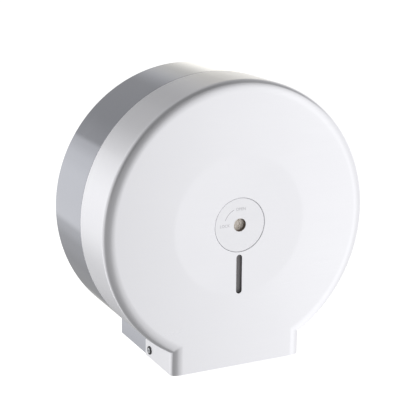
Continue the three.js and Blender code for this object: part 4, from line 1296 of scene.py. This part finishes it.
def studio_world():
    """A white studio. Metal sees it with a dark side round the camera and grey cards behind."""
    world = bpy.data.worlds.new("white_studio")
    world.use_nodes = True
    tree = world.node_tree
    towards = add(tree, "TexCoord").outputs["Generated"]
    sky = dict(add(tree, "SeparateXYZ", {"Vector": towards}).outputs.items())
    sky.update(add(tree, "LightPath").outputs.items())
    angle = add(tree, "Math", {0: sky["Z"], 1: sky["X"]}, operation="ARCTAN2")
    turn = add(tree, "MapRange", {"Value": angle, "From Min": -math.pi, "From Max": math.pi})
    for name, stops in SKY_RINGS.items():
        # The ramp keeps half of each level, so that no colour in it is above 1.
        half_level = add(tree, "ValToRGB", {"Fac": turn})
        ramp = half_level.color_ramp
        ramp.interpolation = "EASE"
        while len(ramp.elements) < len(stops):
            ramp.elements.new(0.5)
        for element, (degrees, level) in zip(ramp.elements, stops):
            element.position = (degrees + 180) / 360
            element.color = (level / 2, level / 2, level / 2, 1)
        sky[name] = add(tree, "Math", {0: half_level, 1: 2}, operation="MULTIPLY")
    span = ("Value", "From Min", "From Max", "To Min", "To Max")
    for name, kind, *terms in SKY_LEVELS:
        terms = [sky.get(term, term) for term in terms]
        if len(terms) == len(span):
            sky[name] = add(tree, "MapRange", dict(zip(span, terms)), interpolation_type=kind)
        else:
            sky[name] = add(tree, "Math", dict(enumerate(terms)), operation=kind)
    tones = {"A": linear("#ffffff"), "B": linear("#fffcf3")}
    tint = add(tree, "Mix", {"Factor": sky["warmth"], **tones}, data_type="RGBA")
    feed(tree, tree.nodes["Background"], {"Color": tint, "Strength": sky["level"]})
    bpy.context.scene.world = world


def studio_floor():
    """A pale floor well below, white to the camera and soft under the object's shadow."""
    drop, reach, glow = 0.9, 12, 0.35
    bm = bmesh.new()
    bmesh.ops.create_grid(bm, x_segments=1, y_segments=1, size=reach)
    floor = body_of(moved(bm, z=-drop), "floor")
    mottle = (0.25, 2)
    material = grained(
        "pale_floor", (linear("#f4f4f4"), linear("#f0f0f0")), mottle, mottle, (0.9, 0.9)
    )
    tree = material.node_tree
    dull = tree.nodes["Principled BSDF"]
    glowing = add(tree, "AddShader", {0: dull, 1: add(tree, "Emission", {"Strength": glow})})
    seen = add(tree, "LightPath").outputs["Is Camera Ray"]
    shown = add(tree, "MixShader", {0: seen, 1: dull, 2: glowing})
    feed(tree, tree.nodes["Material Output"], {"Surface": shown})
    floor.data.materials.append(material)
    floor.visible_glossy = False


class DISPENSER_OT_studio(bpy.types.Operator):
    """Studio: camera, pale floor, white surroundings and one soft lamp"""

    bl_idname = "dispenser.studio"
    bl_label = "Studio"

    def execute(self, context):
        scene = context.scene
        studio_world()
        studio_floor()
        light = bpy.data.lights.new("soft_box", "AREA")
        light.shape = "RECTANGLE"
        light.size = 2.4
        light.size_y = 1.6
        light.energy = 18
        lamp = bpy.data.objects.new("soft_box", light)
        lamp.location = (0.8, -0.6, 2.2)
        lamp.rotation_euler = (-lamp.location).to_track_quat("-Z", "Y").to_euler()
        lamp.visible_camera = False
        lamp.visible_glossy = False
        scene.collection.objects.link(lamp)

        lens = bpy.data.cameras.new("camera")
        lens.lens = FOCAL_LENGTH_MM
        lens.sensor_width = SENSOR_WIDTH_MM
        camera = bpy.data.objects.new("camera", lens)
        camera.location = CAMERA_PLACE
        level = (CAMERA_AIM - CAMERA_PLACE).to_track_quat("-Z", "Y").to_matrix()
        camera.rotation_euler = (level @ Matrix.Rotation(CAMERA_ROLL, 3, "Z")).to_euler()
        scene.collection.objects.link(camera)
        scene.camera = camera
        scene.view_settings.view_transform = "Standard"
        return {"FINISHED"}


class DISPENSER_PT_panel(bpy.types.Panel):
    """Lists the pieces of the dispenser"""

    bl_idname = "DISPENSER_PT_panel"
    bl_label = "Dispenser"
    bl_space_type = "VIEW_3D"
    bl_region_type = "UI"
    bl_category = "Dispenser"

    def draw(self, context):
        layout = self.layout
        for group in (context.scene.dispenser_sizes, context.scene.dispenser_colours):
            for key in group.__annotations__:
                layout.prop(group, key)
        for operator in OPERATORS:
            layout.operator(operator.bl_idname)


OPERATORS = (
    DISPENSER_OT_studio,
    DISPENSER_OT_cover,
    DISPENSER_OT_case,
    DISPENSER_OT_back,
    DISPENSER_OT_tear_bar,
    DISPENSER_OT_spindle,
    DISPENSER_OT_hub,
    DISPENSER_OT_lock,
    DISPENSER_OT_sight,
    DISPENSER_OT_hinge,
)
CLASSES = (DispenserSizes, DispenserColours, *OPERATORS, DISPENSER_PT_panel)


def register():
    for made in CLASSES:
        bpy.utils.register_class(made)
    bpy.types.Scene.dispenser_sizes = bpy.props.PointerProperty(type=DispenserSizes)
    bpy.types.Scene.dispenser_colours = bpy.props.PointerProperty(type=DispenserColours)


def unregister():
    del bpy.types.Scene.dispenser_colours
    del bpy.types.Scene.dispenser_sizes
    for made in reversed(CLASSES):
        bpy.utils.unregister_class(made)


def main():
    register()
    make_finishes()
    for operator in OPERATORS:
        group, name = operator.bl_idname.split(".")
        getattr(getattr(bpy.ops, group), name)()


if __name__ == "__main__":
    main()
